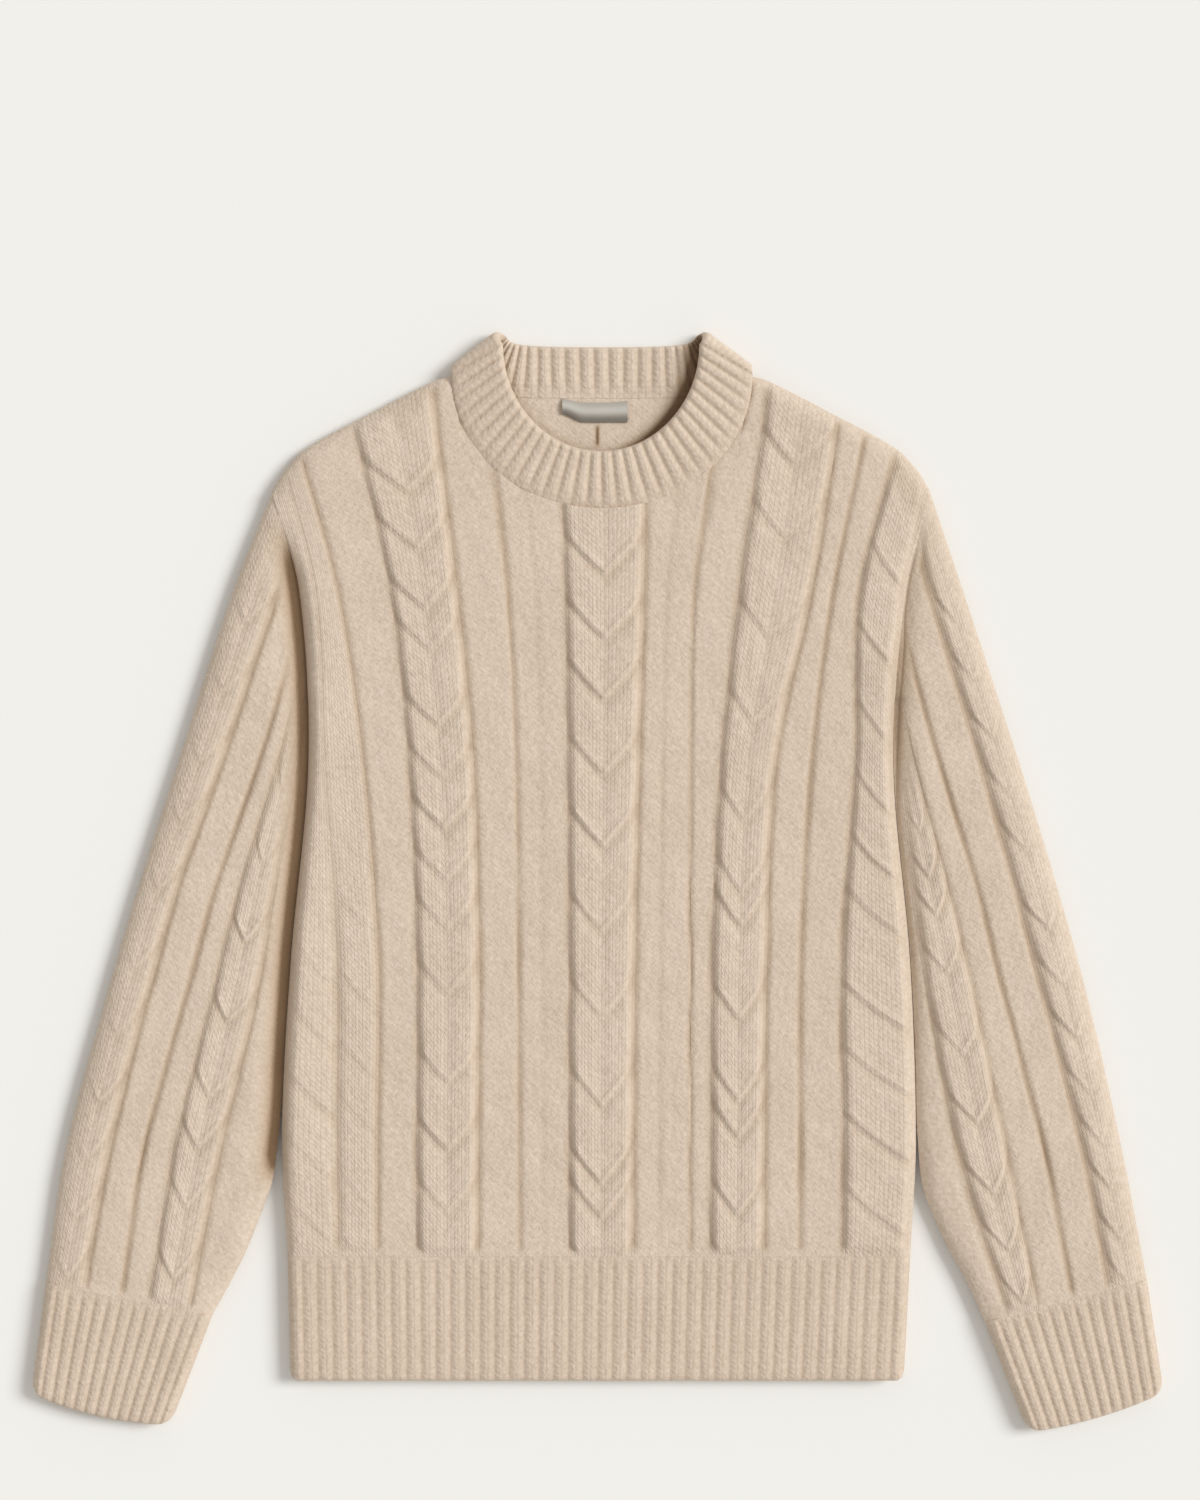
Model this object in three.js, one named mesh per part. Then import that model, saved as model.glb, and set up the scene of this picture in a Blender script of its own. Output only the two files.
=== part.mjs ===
import * as THREE from 'three';

// A cable knit sweater laid flat on its back, front up, with its sleeves beside the body.
// Millimetres. +X is to the right of someone looking down at it, +Y points to the neck and
// +Z up. "left" and "right" are as seen from above. Everything is drawn around the body's
// own middle line, and the finished group is moved so that its origin lies on the ground
// under the middle of the whole garment.

// Cloth, and the flat garment's layers
const WALL = 5;
const SEAM_GAP = 0.3;
const ROOM_BETWEEN_LAYERS = 3;
const MIDDLE = WALL + ROOM_BETWEEN_LAYERS / 2;
const RISE = MIDDLE - SEAM_GAP / 2;
const INSIDE_RISE = RISE - WALL;

// How wide the cloth rounds over at each kind of edge
const SIDE_ROUND = 8;
const SHOULDER_ROUND = 14;
const SLEEVE_OUTER_ROUND = 14;
const SLEEVE_INNER_ROUND = 20;
const UNDER_ROUND = 8;

// The deep creases beside the body above and below each underarm: how far the sleeve is
// tucked down, how far the body swells beside it, and how high the cloth stands at its bottom
const CREASES = {
  left: { tuck: 4, swell: 2.2, low: 0.25, from: -212, deepFrom: -150 },
  right: { tuck: 2, swell: 1.2, low: 0.35, from: -150, deepFrom: -60 },
};
const SWELL_TOP = 7;
const SWELL_END = 34;
// Towards the shoulder the crease runs out, and the cloth runs on flat into the sleeve
const CREASE_RUNS_OUT = { from: 205, flat: 250, end: 258 };

// Knitted relief, above or below the plain face
const CABLE_HEIGHT = 3.4;
const ROPE_HEIGHT = 2.6;
const GROOVE_DEPTH = 1.2;
const GROOVE_HALF = 3;
const CUFF_RIB = 1.5;
const HEM_RIB = 1.2;
const FULL_RELIEF_WIDTH = 40;
const SEAM_FADE = 8;
const STRAND_FADE = 50;
const STEP = 1.2;
const BEYOND_LAST_CROSSING = 50;
const LEAST_APART = 0.8;
const SHOULDER_SLANT = 1.2;
const SIDE_SPACING = 12;

// Body
const HEM_SEAM_Y = -252;
const HEM_BOTTOM_Y = -337;
const SHOULDER_TIP_Y = 268;
const UNDERARM_Y = 126;
const SHOULDER_MIDDLE_X = 2.5;
const BODY_STATIONS = [HEM_SEAM_Y, -170, -51, 85, 200];

// Neck
const NECK_X = 3;
const NECK_SIDE = 101.8;
const NECK_MIDDLE_Y = 346;
const FRONT_NECK_DEPTH = 90;
const BACK_NECK_DEPTH = 14;

// Shoulder line: distance from the middle line, and its height up the garment
const shoulderHeight = curveThrough([
  [80, NECK_MIDDLE_Y],
  [102, NECK_MIDDLE_Y],
  [114, 342.8],
  [153, 323],
  [202, 296],
  [216, 281],
  [224, SHOULDER_TIP_Y],
]);

// Wale lines of the body: X at the hem seam, hip, waist, chest and yoke, and at the top edge
const BODY_LINES = {
  side_left: { at: [-211, -215, -209, -197, -203], top: -221.5 },
  flank_left: { at: [-176, -177, -177, -185, -191], top: -212 },
  panel_left: { at: [-149, -149, -148.5, -159, -176], top: -202 },
  left_cable_a: { at: [-124, -124, -124, -129.5, -142], top: -167.5 },
  left_cable_b: { at: [-80.5, -80.5, -80, -84, -95], top: -112.5 },
  neck_left: { at: [-66, -66, -66, -69, -77], top: NECK_X - NECK_SIDE },
  ground_left: { at: [-52.5, -53, -53.5, -55, -61], top: -69 },
  centre_cable_a: { at: [-20.5, -20.5, -20.5, -21.5, -23], top: -25 },
  centre_cable_b: { at: [25, 25, 26, 29, 32], top: 33 },
  ground_right: { at: [63, 63, 63, 63.5, 66], top: 77 },
  neck_right: { at: [69, 69, 70, 74, 82], top: NECK_X + NECK_SIDE },
  right_cable_a: { at: [75, 76, 76.5, 82.5, 95], top: 115.5 },
  right_cable_b: { at: [114, 114, 115.5, 122, 146], top: 165 },
  panel_right: { at: [165, 166, 165, 174, 177], top: 203 },
  side_right: { at: [213, 217, 213, 201.5, 210], top: 226.5 },
};

// Heights at which the strands cross, from the neck down
const CROSSINGS = {
  flank: [230, 180, 125, 70, 15, -30, -72, -118, -160, -205],
  panel: [240, 190, 140, 95, 45, 0, -54, -100, -137, -190, -232],
  left: [296, 257, 216, 188, 137, 102, 67, 32, -1, -45, -105, -151, -193, -238],
  centre: [245, 201, 160, 109, 60, 2, -56, -116, -169, -192, -236],
  right: [318, 269, 202, 143, 76, 28, 5, -58, -114, -139, -191, -233],
  side_right: [240, 185, 133, 85, 41, 3, -61, -105, -150, -200],
  sleeve_left_outer: [205, 158, 110, 70, 23, -31, -75, -121, -160, -200, -240],
  sleeve_left_inner: [95, 44, -10, -65, -116, -150, -190, -239],
  sleeve_right_outer: [205, 166, 127, 88, 50, -3, -41, -77, -115, -148, -180, -214, -245],
  sleeve_right_inner: [65, 34, 8, -31, -86, -133, -181, -220, -255],
};

// What is knitted between the body's lines, from left to right. Ground is plain with
// valleys, each at a share across and with a depth. Strands marked strong stand out that
// much, and fade towards the shoulder around the height in fadesAt.
const BODY_LANES = [
  {
    from: 'side_left', to: 'flank_left', knit: 'rope', crossings: CROSSINGS.flank, fall: 42,
    strong: 0.6, fadesAt: -20,
  },
  {
    from: 'flank_left', to: 'panel_left', knit: 'rope', crossings: CROSSINGS.panel, fall: 34,
    strong: 0.5, fadesAt: 10,
  },
  { from: 'panel_left', to: 'left_cable_a', knit: 'ground', valleys: [[0, 1], [1, 0.5]] },
  { from: 'left_cable_a', to: 'left_cable_b', knit: 'cable', crossings: CROSSINGS.left, fall: 30 },
  { from: 'left_cable_b', to: 'neck_left', knit: 'ground', valleys: [[0, 1]] },
  { from: 'neck_left', to: 'ground_left', knit: 'ground', valleys: [[1, 1]], slices: 8 },
  { from: 'ground_left', to: 'centre_cable_a', knit: 'ground', valleys: [[0, 1], [1, 0.5]], slices: 6 },
  { from: 'centre_cable_a', to: 'centre_cable_b', knit: 'cable', crossings: CROSSINGS.centre, fall: 35 },
  { from: 'centre_cable_b', to: 'ground_right', knit: 'ground', valleys: [[0, 0.9], [1, 0.9]], slices: 6 },
  { from: 'ground_right', to: 'neck_right', knit: 'ground', valleys: [[0, 0.9]], slices: 8 },
  { from: 'neck_right', to: 'right_cable_a', knit: 'ground', valleys: [[1, 0.6]] },
  { from: 'right_cable_a', to: 'right_cable_b', knit: 'cable', crossings: CROSSINGS.right, fall: 34 },
  { from: 'right_cable_b', to: 'panel_right', knit: 'ground', valleys: [[0, 0.9], [0.46, 1.3], [1, 0.8]] },
  { from: 'panel_right', to: 'side_right', knit: 'rope', crossings: CROSSINGS.side_right, fall: 42 },
];

// Sleeves. Each line starts on the armhole, at a share of the way from the shoulder tip
// to the underarm, and ends on the cuff seam, at a share of the way from its outer end.
const SLEEVE_STATIONS = [-180, -78, 0, 85, 200];
const SLEEVES = {
  sleeve_left: {
    side: -1,
    valley: 1.6,
    seamOuter: [-375.5, -270.5],
    seamInner: [-262, -292.5],
    outer: { at: [-362, -335, -312, -285, -248], top: 0, bottom: 0 },
    ridge_a: { at: [-331, -306, -284, -254.5, -217], top: 0.28, bottom: 0.24 },
    ridge_b: { at: [-308, -280.5, -259, -229.5, -205], top: 0.6, bottom: 0.46 },
    cable_a: { at: [-289, -264, -244.5, -218, -204], top: 0.75, bottom: 0.61 },
    cable_b: { at: [-255.5, -231.5, -218.5, -202.5, -203], top: 0.93, bottom: 0.87 },
    inner: { leaves: [[-292.5, 51], [-268, 37.5], [-241, 24], [-207, 9], [-190, 4.5], [-160, 1], [-130, 0]] },
    outerCrossings: CROSSINGS.sleeve_left_outer,
    innerCrossings: CROSSINGS.sleeve_left_inner,
  },
  sleeve_right: {
    side: 1,
    valley: 1,
    seamOuter: [374, -268.5],
    seamInner: [263.5, -297],
    outer: { at: [357, 334, 312.5, 286.5, 249], top: 0, bottom: 0 },
    ridge_a: { at: [329.5, 303.5, 283, 259.5, 225.5], top: 0.2, bottom: 0.24 },
    ridge_b: { at: [303.5, 277, 257.5, 231.5, 214], top: 0.64, bottom: 0.46 },
    cable_a: { at: [279, 258, 239.5, 216, 211], top: 0.85, bottom: 0.66 },
    cable_b: { at: [244.5, 224, 212.5, 203.5, 210], top: 0.95, bottom: 0.86 },
    inner: { leaves: [[-297, 50], [-268, 37], [-241, 22], [-207, 6], [-175, 1], [-145, 0]] },
    outerCrossings: CROSSINGS.sleeve_right_outer,
    innerCrossings: CROSSINGS.sleeve_right_inner,
  },
};
const SLEEVE_CLEAR_OF_BODY = 0.6;
// The sleeve's outer edge slants, so a distance square to it is this much of one across
const SLEEVE_SLANT = 0.95;
// Its lines are drawn over to their exact ends within this length
const END_BLEND = 60;
// An inner face keeps clear of the armhole's and the cuff seam's two ends, as shares of them
const ARMHOLE_MARGIN = 0.075;
const CUFF_MARGIN_PER_MM = 0.0075;

// Cuffs: the two ends of the open edge, and how far it bows out between them
const CUFFS = {
  cuff_left: { sleeve: 'sleeve_left', openOuter: [-385.5, -346], openInner: [-290.5, -367], bow: 5 },
  cuff_right: { sleeve: 'sleeve_right', openOuter: [385.5, -345], openInner: [293, -372], bow: 4 },
};
const CUFF_SEAM_WIDTH = 116;
const CUFF_OPEN_WIDTH = 97;
const CUFF_LENGTH = 78;
const CUFF_RIBS = 13;
const HEM_RIBS = 42;
const BAND_FRONT_RIBS = 26;
const BAND_BACK_RIBS = 18;

// Neckband
const BAND_GAP = 0.35;
const BAND_HALF = 2.7;
const BAND_RIB = 1.8;
const BAND_RIB_GROWN = 0.3;
const BAND_SEAM_HEIGHT = MIDDLE + SEAM_GAP / 2 + RISE - WALL / 2;
const BAND_FREE_LIFT = 2;
const BAND_SIDE_LIFT = 2.5;
const BAND_FREE = { x: 2.5, y: 367, side: 66.6, frontDepth: 72 };
const BAND_BACK_EDGE = { y: 366.5, cornerX: 64, cornerRise: 6 };

// Label, blank, on the inside of the back
const LABEL = { left: -24, right: 20.5, top: 329.5, bottom: 315, thickness: 0.8 };

const WOOL = { color: 0xd8c3a5, roughness: 0.95, metalness: 0 };
const SATIN = { color: 0x9b9a98, roughness: 0.6, metalness: 0 };

// Small helpers

function mix(a, b, share) {
  return a + (b - a) * share;
}

function clamp01(value) {
  return Math.min(Math.max(value, 0), 1);
}

function ease(from, to, value) {
  const t = clamp01((value - from) / (to - from));
  return t * t * (3 - 2 * t);
}

// 0 at an edge and 1 beyond the given width, along a quarter ellipse
function roundOver(distance, width) {
  const t = clamp01(distance / width);
  return Math.sqrt(1 - (1 - t) * (1 - t));
}

// A smooth function through [place, value] pairs in rising order of place
function curveThrough(pairs) {
  const last = pairs.length - 1;
  const slopes = pairs.map((pair, i) => {
    const before = pairs[Math.max(i - 1, 0)];
    const after = pairs[Math.min(i + 1, last)];
    return (after[1] - before[1]) / (after[0] - before[0]);
  });
  return (place) => {
    const at = Math.min(Math.max(place, pairs[0][0]), pairs[last][0]);
    let i = 0;
    while (i < last - 1 && at > pairs[i + 1][0]) i += 1;
    const span = pairs[i + 1][0] - pairs[i][0];
    const t = (at - pairs[i][0]) / span;
    const t2 = t * t;
    const t3 = t2 * t;
    return (2 * t3 - 3 * t2 + 1) * pairs[i][1]
      + (t3 - 2 * t2 + t) * span * slopes[i]
      + (3 * t2 - 2 * t3) * pairs[i + 1][1]
      + (t3 - t2) * span * slopes[i + 1];
  };
}

// Heights down a line, pushed apart so that no two meet
function spread(heights) {
  const out = heights.slice();
  const last = out.length - 1;
  for (let i = 1; i < last; i += 1) out[i] = Math.min(out[i], out[i - 1] - LEAST_APART);
  for (let i = last - 1; i > 0; i -= 1) out[i] = Math.max(out[i], out[i + 1] + LEAST_APART);
  return out;
}

// Closed meshes made of strips between lines of points

class Shell {
  constructor() {
    this.positions = [];
    this.indices = [];
  }

  line(points, family) {
    const ids = points.map((point) => {
      this.positions.push(...point);
      return this.positions.length / 3 - 1;
    });
    ids.family = family;
    return ids;
  }

  distance(a, b) {
    const p = this.positions;
    return Math.hypot(p[3 * a] - p[3 * b], p[3 * a + 1] - p[3 * b + 1], p[3 * a + 2] - p[3 * b + 2]);
  }

  // Fills between two lines, and faces up where the first lies to the left of the second
  // and both run towards the neck
  strip(first, second) {
    const sameRows = first.length === second.length && first.family === second.family;
    let i = 0;
    let j = 0;
    while (i < first.length - 1 || j < second.length - 1) {
      let stepFirst = j === second.length - 1;
      if (!stepFirst && i < first.length - 1) {
        stepFirst = sameRows
          ? i <= j
          : this.distance(first[i + 1], second[j]) < this.distance(first[i], second[j + 1]);
      }
      if (stepFirst) {
        this.indices.push(first[i], second[j], first[i + 1]);
        i += 1;
      } else {
        this.indices.push(first[i], second[j], second[j + 1]);
        j += 1;
      }
    }
  }

  strips(lines) {
    for (let i = 0; i < lines.length - 1; i += 1) this.strip(lines[i], lines[i + 1]);
  }

  mesh(name, finish) {
    const geometry = new THREE.BufferGeometry();
    geometry.setAttribute('position', new THREE.Float32BufferAttribute(this.positions, 3));
    geometry.setIndex(this.indices);
    geometry.computeVertexNormals();
    const mesh = new THREE.Mesh(geometry, new THREE.MeshStandardMaterial(finish));
    mesh.name = name;
    return mesh;
  }
}

function reversed(line) {
  const out = line.slice().reverse();
  out.family = line.family;
  return out;
}

function ends(lines, which) {
  const out = lines.map((line) => line.at(which));
  out.family = 'ends';
  return out;
}

// A panel with an upper and a lower face, each given as lines from left to right
function panel(name, upper, lower, finish = WOOL) {
  const shell = new Shell();
  const top = upper.map((line) => shell.line(line.points, line.family));
  const bottom = lower.map((line) => shell.line(line.points, line.family));
  shell.strips(top);
  shell.strips(bottom.slice().reverse());
  shell.strip(ends(top, 0), ends(bottom, 0));
  shell.strip(top.at(-1), bottom.at(-1));
  shell.strip(reversed(ends(top, -1)), reversed(ends(bottom, -1)));
  shell.strip(reversed(top[0]), reversed(bottom[0]));
  return shell.mesh(name, finish);
}

// A flattened tube. Its upper and lower faces share their first and last lines, which are
// its two folds, and the faces of its inside do the same.
function tube(name, faces) {
  const shell = new Shell();
  const build = (upper, lower) => {
    const top = upper.map((line) => shell.line(line.points, line.family));
    const between = lower.map((line) => shell.line(line.points, line.family));
    return [top, [top[0], ...between, top.at(-1)]];
  };
  const [outerTop, outerBottom] = build(faces.outerTop, faces.outerBottom);
  const [innerTop, innerBottom] = build(faces.innerTop, faces.innerBottom);
  shell.strips(outerTop);
  shell.strips(outerBottom.slice().reverse());
  shell.strips(innerTop.slice().reverse());
  shell.strips(innerBottom);
  shell.strip(ends(outerTop, 0), ends(innerTop, 0));
  shell.strip(ends(innerBottom, 0), ends(outerBottom, 0));
  shell.strip(ends(innerTop, -1), ends(outerTop, -1));
  shell.strip(ends(outerBottom, -1), ends(innerBottom, -1));
  return shell.mesh(name, WOOL);
}

// Knitted relief

// How far down a strand's edge has come, from 0 at the lane's border to 1
function sweep(across) {
  return across ** 0.78;
}

// Share of the way from one crossing down to the next
function strandPhase(lane, across, y) {
  const fallen = y + lane.fall * sweep(across);
  const { crossings } = lane;
  let next = crossings.findIndex((crossing) => crossing < fallen);
  if (next === -1) next = crossings.length;
  const above = next === 0 ? crossings[0] + BEYOND_LAST_CROSSING : crossings[next - 1];
  const below = next === crossings.length ? above - BEYOND_LAST_CROSSING : crossings[next];
  return (above - fallen) / (above - below);
}

function strandHeight(phase) {
  return 0.45 + 0.55 * ease(0, 0.5, phase);
}

// How strongly a lane's strands stand out at height y
function strandStrength(lane, y) {
  if (!lane.strong) return 1;
  return lane.strong * (1 - ease(lane.fadesAt - STRAND_FADE, lane.fadesAt + STRAND_FADE, y));
}

// Relief at a share across a lane, at height y up the garment
function relief(lane, share, y, width) {
  const strength = strandStrength(lane, y);
  const height = Math.min(1, width / FULL_RELIEF_WIDTH) * strength;
  if (lane.knit === 'ground') {
    const valley = ([at, deep]) => deep * Math.exp(-(((share - at) * width / GROOVE_HALF) ** 2));
    return -GROOVE_DEPTH * lane.valleys.map(valley).reduce((a, b) => a + b);
  }
  if (lane.knit === 'rope') {
    const lobe = Math.sin(Math.PI * clamp01(share)) ** 0.6;
    const grown = lobe * strandHeight(strandPhase(lane, share, y));
    return (ROPE_HEIGHT + GROOVE_DEPTH) * height * grown - GROOVE_DEPTH * strength;
  }
  const across = share < 0.5 ? 2 * share : 2 - 2 * share;
  const lobe = (1 - (1 - Math.min(across / 0.4, 1)) ** 2) * (1 - 0.15 * ease(0.7, 1, across));
  const grown = lobe * strandHeight(strandPhase(lane, across, y));
  return (CABLE_HEIGHT + GROOVE_DEPTH) * height * grown - GROOVE_DEPTH;
}

// Shares across a lane at which its lines run
function sharesAcross(lane, roundFirst, roundLast) {
  let shares;
  if (lane.knit === 'cable') shares = [0, 0.09, 0.22, 0.36, 0.5, 0.64, 0.78, 0.91, 1];
  else if (lane.knit === 'rope') shares = [0, 0.2, 0.5, 0.8, 1];
  else if (lane.slices) shares = Array.from({ length: lane.slices + 1 }, (_, i) => i / lane.slices);
  else {
    const middles = lane.valleys.map(([at]) => at).filter((at) => at > 0 && at < 1);
    shares = [0, 0.15, ...middles.flatMap((at) => [at - 0.1, at, at + 0.1]), 0.85, 1];
  }
  if (roundFirst) shares = [...new Set([0, 0.05, ...shares])].sort((a, b) => a - b);
  if (roundLast) shares = [...new Set([...shares, 0.95, 1])].sort((a, b) => a - b);
  return shares;
}

// Heights of the points down a line that carries strands: just above and just below each
// crossing, and part of the way to the next
function strandRows(lane, share, top, bottom, topRows) {
  let across = share;
  if (lane.knit === 'cable') across = share < 0.5 ? 2 * share : 2 - 2 * share;
  const rows = [...topRows.map((drop) => top - drop)];
  lane.crossings.forEach((crossing, i) => {
    const at = crossing - lane.fall * sweep(across);
    const following = lane.crossings[i + 1] ?? crossing - BEYOND_LAST_CROSSING;
    const next = following - lane.fall * sweep(across);
    rows.push(at + STEP, at - STEP, mix(at, next, 0.5));
  });
  return spread([...rows, bottom]);
}

function plainRows(top, bottom, topRows, spacing) {
  const start = top - topRows.at(-1);
  const count = Math.max(1, Math.round((start - bottom) / spacing));
  const rows = Array.from({ length: count }, (_, i) => mix(start, bottom, (i + 1) / count));
  return [...topRows.map((drop) => top - drop), ...rows];
}

// Body

function shoulderY(x) {
  return shoulderHeight(Math.abs(x - SHOULDER_MIDDLE_X));
}

function frontNeckY(x) {
  const share = clamp01(Math.abs(x - NECK_X) / NECK_SIDE);
  return NECK_MIDDLE_Y - FRONT_NECK_DEPTH * Math.sqrt(1 - share * share);
}

function backNeckY(x) {
  const share = clamp01(Math.abs(x - NECK_X) / NECK_SIDE);
  return NECK_MIDDLE_Y - BACK_NECK_DEPTH * Math.sqrt(1 - share ** 4);
}

// Places along the body's top edge: 0 to 1 is the left shoulder, 1 to 2 the neck, 2 to 3
// the right shoulder
function topKey(x) {
  const share = (x - NECK_X) / NECK_SIDE;
  const tipLeft = BODY_LINES.side_left.top;
  const tipRight = BODY_LINES.side_right.top;
  if (share <= -1) return (x - tipLeft) / (NECK_X - NECK_SIDE - tipLeft);
  if (share >= 1) return 2 + (x - NECK_X - NECK_SIDE) / (tipRight - NECK_X - NECK_SIDE);
  return 1.5 + Math.asin(share) / Math.PI;
}

function topPoint(key, neckY) {
  if (key <= 1) {
    const x = mix(BODY_LINES.side_left.top, NECK_X - NECK_SIDE, key);
    return [x, shoulderY(x)];
  }
  if (key >= 2) {
    const x = mix(NECK_X + NECK_SIDE, BODY_LINES.side_right.top, key - 2);
    return [x, shoulderY(x)];
  }
  const x = NECK_X + NECK_SIDE * Math.sin(Math.PI * (key - 1.5));
  return [x, neckY(x)];
}

function isShoulder(key) {
  return key <= 1 || key >= 2;
}

// The two lines that end at the neck's corners stay outside the neckline
const NECK_CORNER_CLEAR = 0.5;

function besideNeckline(y) {
  const share = clamp01((NECK_MIDDLE_Y - y) / FRONT_NECK_DEPTH);
  const clear = NECK_CORNER_CLEAR * ease(0, 6, NECK_MIDDLE_Y - y);
  return NECK_SIDE * Math.sqrt(1 - share * share) + clear;
}

const NECK_CORNER_KEEP = {
  1: (x, y) => Math.min(x, NECK_X - besideNeckline(y)),
  2: (x, y) => Math.max(x, NECK_X + besideNeckline(y)),
};

// A line between two of the body's lines: X as a function of Y, and where it ends at the top
function bodyLine(from, to, share, neckY = frontNeckY) {
  const a = BODY_LINES[from];
  const b = BODY_LINES[to];
  const key = mix(topKey(a.top), topKey(b.top), share);
  const [topX, topY] = topPoint(key, neckY);
  const pairs = BODY_STATIONS.map((y, i) => [y, mix(a.at[i], b.at[i], share)]);
  const x = curveThrough([...pairs, [topY, topX]]);
  const keep = NECK_CORNER_KEEP[key];
  if (!keep || neckY !== frontNeckY) return { x, top: topY, key };
  return { x: (y) => keep(x(y), y), top: topY, key };
}

const leftEdge = bodyLine('side_left', 'side_left', 0).x;
const rightEdge = bodyLine('side_right', 'side_right', 0).x;

// How high the cloth stands at the body's side: 0 where it rolls under, 1 where it runs on
// into the sleeve
function sideStand(y, crease) {
  const low = mix(crease.low, 1, ease(CREASE_RUNS_OUT.from, CREASE_RUNS_OUT.flat, y));
  return roundOver(y - UNDERARM_Y, SIDE_ROUND) * low;
}

// How deep a crease is along its length, from 0 to 1
function creaseDepth(y, crease) {
  return ease(crease.from, crease.deepFrom, y) * (1 - ease(CREASE_RUNS_OUT.from, CREASE_RUNS_OUT.end, y));
}

// The body swells beside the crease
function swell(x, y) {
  const beside = (crease, fromSide) => crease.swell * creaseDepth(y, crease)
    * ease(0, SWELL_TOP, fromSide) * (1 - ease(SWELL_TOP, SWELL_END, fromSide));
  return beside(CREASES.left, x - leftEdge(y)) + beside(CREASES.right, rightEdge(y) - x);
}

// How far the inner face stops short of the edge, from WALL at a rolled edge to 0
function sideInset(y) {
  return WALL * (1 - ease(UNDERARM_Y, UNDERARM_Y + 24, y));
}

function fromShoulder(x, y) {
  const reach = 4;
  const slope = (shoulderY(x + reach) - shoulderY(x - reach)) / (2 * reach);
  return (shoulderY(x) - y) / Math.hypot(1, slope);
}

// Height of a layer's face over the middle, as a share of its full rise
function bodyShare(x, y, inset, sideRound, shoulderRound, stand) {
  const side = Math.min(x - leftEdge(y), rightEdge(y) - x) - Math.min(inset, sideInset(y));
  const shoulder = fromShoulder(x, y) - inset;
  const low = stand(y, x < 0 ? CREASES.left : CREASES.right);
  return roundOver(shoulder, shoulderRound) * (low + (1 - low) * roundOver(side, sideRound));
}

const UPPER = MIDDLE + SEAM_GAP / 2;
const LOWER = MIDDLE - SEAM_GAP / 2;

function frontOuter(x, y, lane, share, width) {
  const share01 = bodyShare(x, y, 0, SIDE_ROUND, SHOULDER_ROUND, sideStand);
  const edge = Math.min(x - leftEdge(y), rightEdge(y) - x, fromShoulder(x, y));
  const seamFade = ease(0, SEAM_FADE, y - HEM_SEAM_Y);
  return UPPER + RISE * share01 + (relief(lane, share, y, width) + swell(x, y)) * ease(0, 9, edge) * seamFade;
}

function frontInner(x, y) {
  const share = bodyShare(x, y, WALL, SIDE_ROUND - WALL, SHOULDER_ROUND - WALL, sideStand);
  return UPPER + INSIDE_RISE * share;
}

// The under layer rolls at the sides only below the underarm
function backStand(y) {
  return roundOver(y - UNDERARM_Y, UNDER_ROUND);
}

function backOuter(x, y) {
  return LOWER - RISE * bodyShare(x, y, 0, UNDER_ROUND, UNDER_ROUND, backStand);
}

function backInner(x, y) {
  const round = SHOULDER_ROUND - WALL;
  return LOWER - INSIDE_RISE * bodyShare(x, y, WALL, round, round, backStand);
}

const SHOULDER_ROWS = [0, 2.3, 8, 16];
const NECK_ROWS = [0, 8];
const SHOULDER_SHARES = [0, 0.35, 0.7];

function frontOuterLines() {
  const lines = [];
  BODY_LANES.forEach((lane, index) => {
    const lastLane = index === BODY_LANES.length - 1;
    const a = bodyLine(lane.from, lane.from, 0);
    const b = bodyLine(lane.to, lane.to, 0);
    sharesAcross(lane, index === 0, lastLane).forEach((share) => {
      const before = BODY_LANES[index - 1];
      if (share === 0 && before && before.knit !== 'ground') return;
      const after = BODY_LANES[index + 1];
      if (share === 1 && !lastLane && (lane.knit === 'ground' || after.knit !== 'ground')) return;
      const line = bodyLine(lane.from, lane.to, share);
      const topRows = isShoulder(line.key) ? SHOULDER_ROWS : NECK_ROWS;
      const atSide = (index === 0 && share === 0) || (lastLane && share === 1);
      const plain = lane.knit === 'ground' || atSide;
      const rows = plain
        ? plainRows(line.top, HEM_SEAM_Y, topRows, atSide ? SIDE_SPACING : 42)
        : strandRows(lane, share, line.top, HEM_SEAM_Y, topRows);
      const points = rows.reverse().map((y) => {
        const x = line.x(y);
        return [x, y, frontOuter(x, y, lane, share, b.x(y) - a.x(y))];
      });
      lines.push({ points, family: `${lane.from} ${topRows.length} ${atSide}` });
    });
  });
  return lines;
}

// A line of a plain face, by its place along the top edge
const LINE_NAMES = Object.keys(BODY_LINES);

function lineAt(key, neckY) {
  const keys = LINE_NAMES.map((name) => topKey(BODY_LINES[name].top));
  let i = 0;
  while (i < LINE_NAMES.length - 2 && key > keys[i + 1]) i += 1;
  const share = (key - keys[i]) / (keys[i + 1] - keys[i]);
  const line = bodyLine(LINE_NAMES[i], LINE_NAMES[i + 1], share, neckY);
  const [, top] = topPoint(key, neckY);
  return { x: line.x, top, key };
}

function keysAlongTop(shoulderShares, neckParts) {
  const neck = Array.from({ length: neckParts - 1 }, (_, i) => 1 + (i + 1) / neckParts);
  return [...shoulderShares, 1, ...neck, 2, ...shoulderShares.map((share) => 3 - share).reverse()];
}

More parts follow.
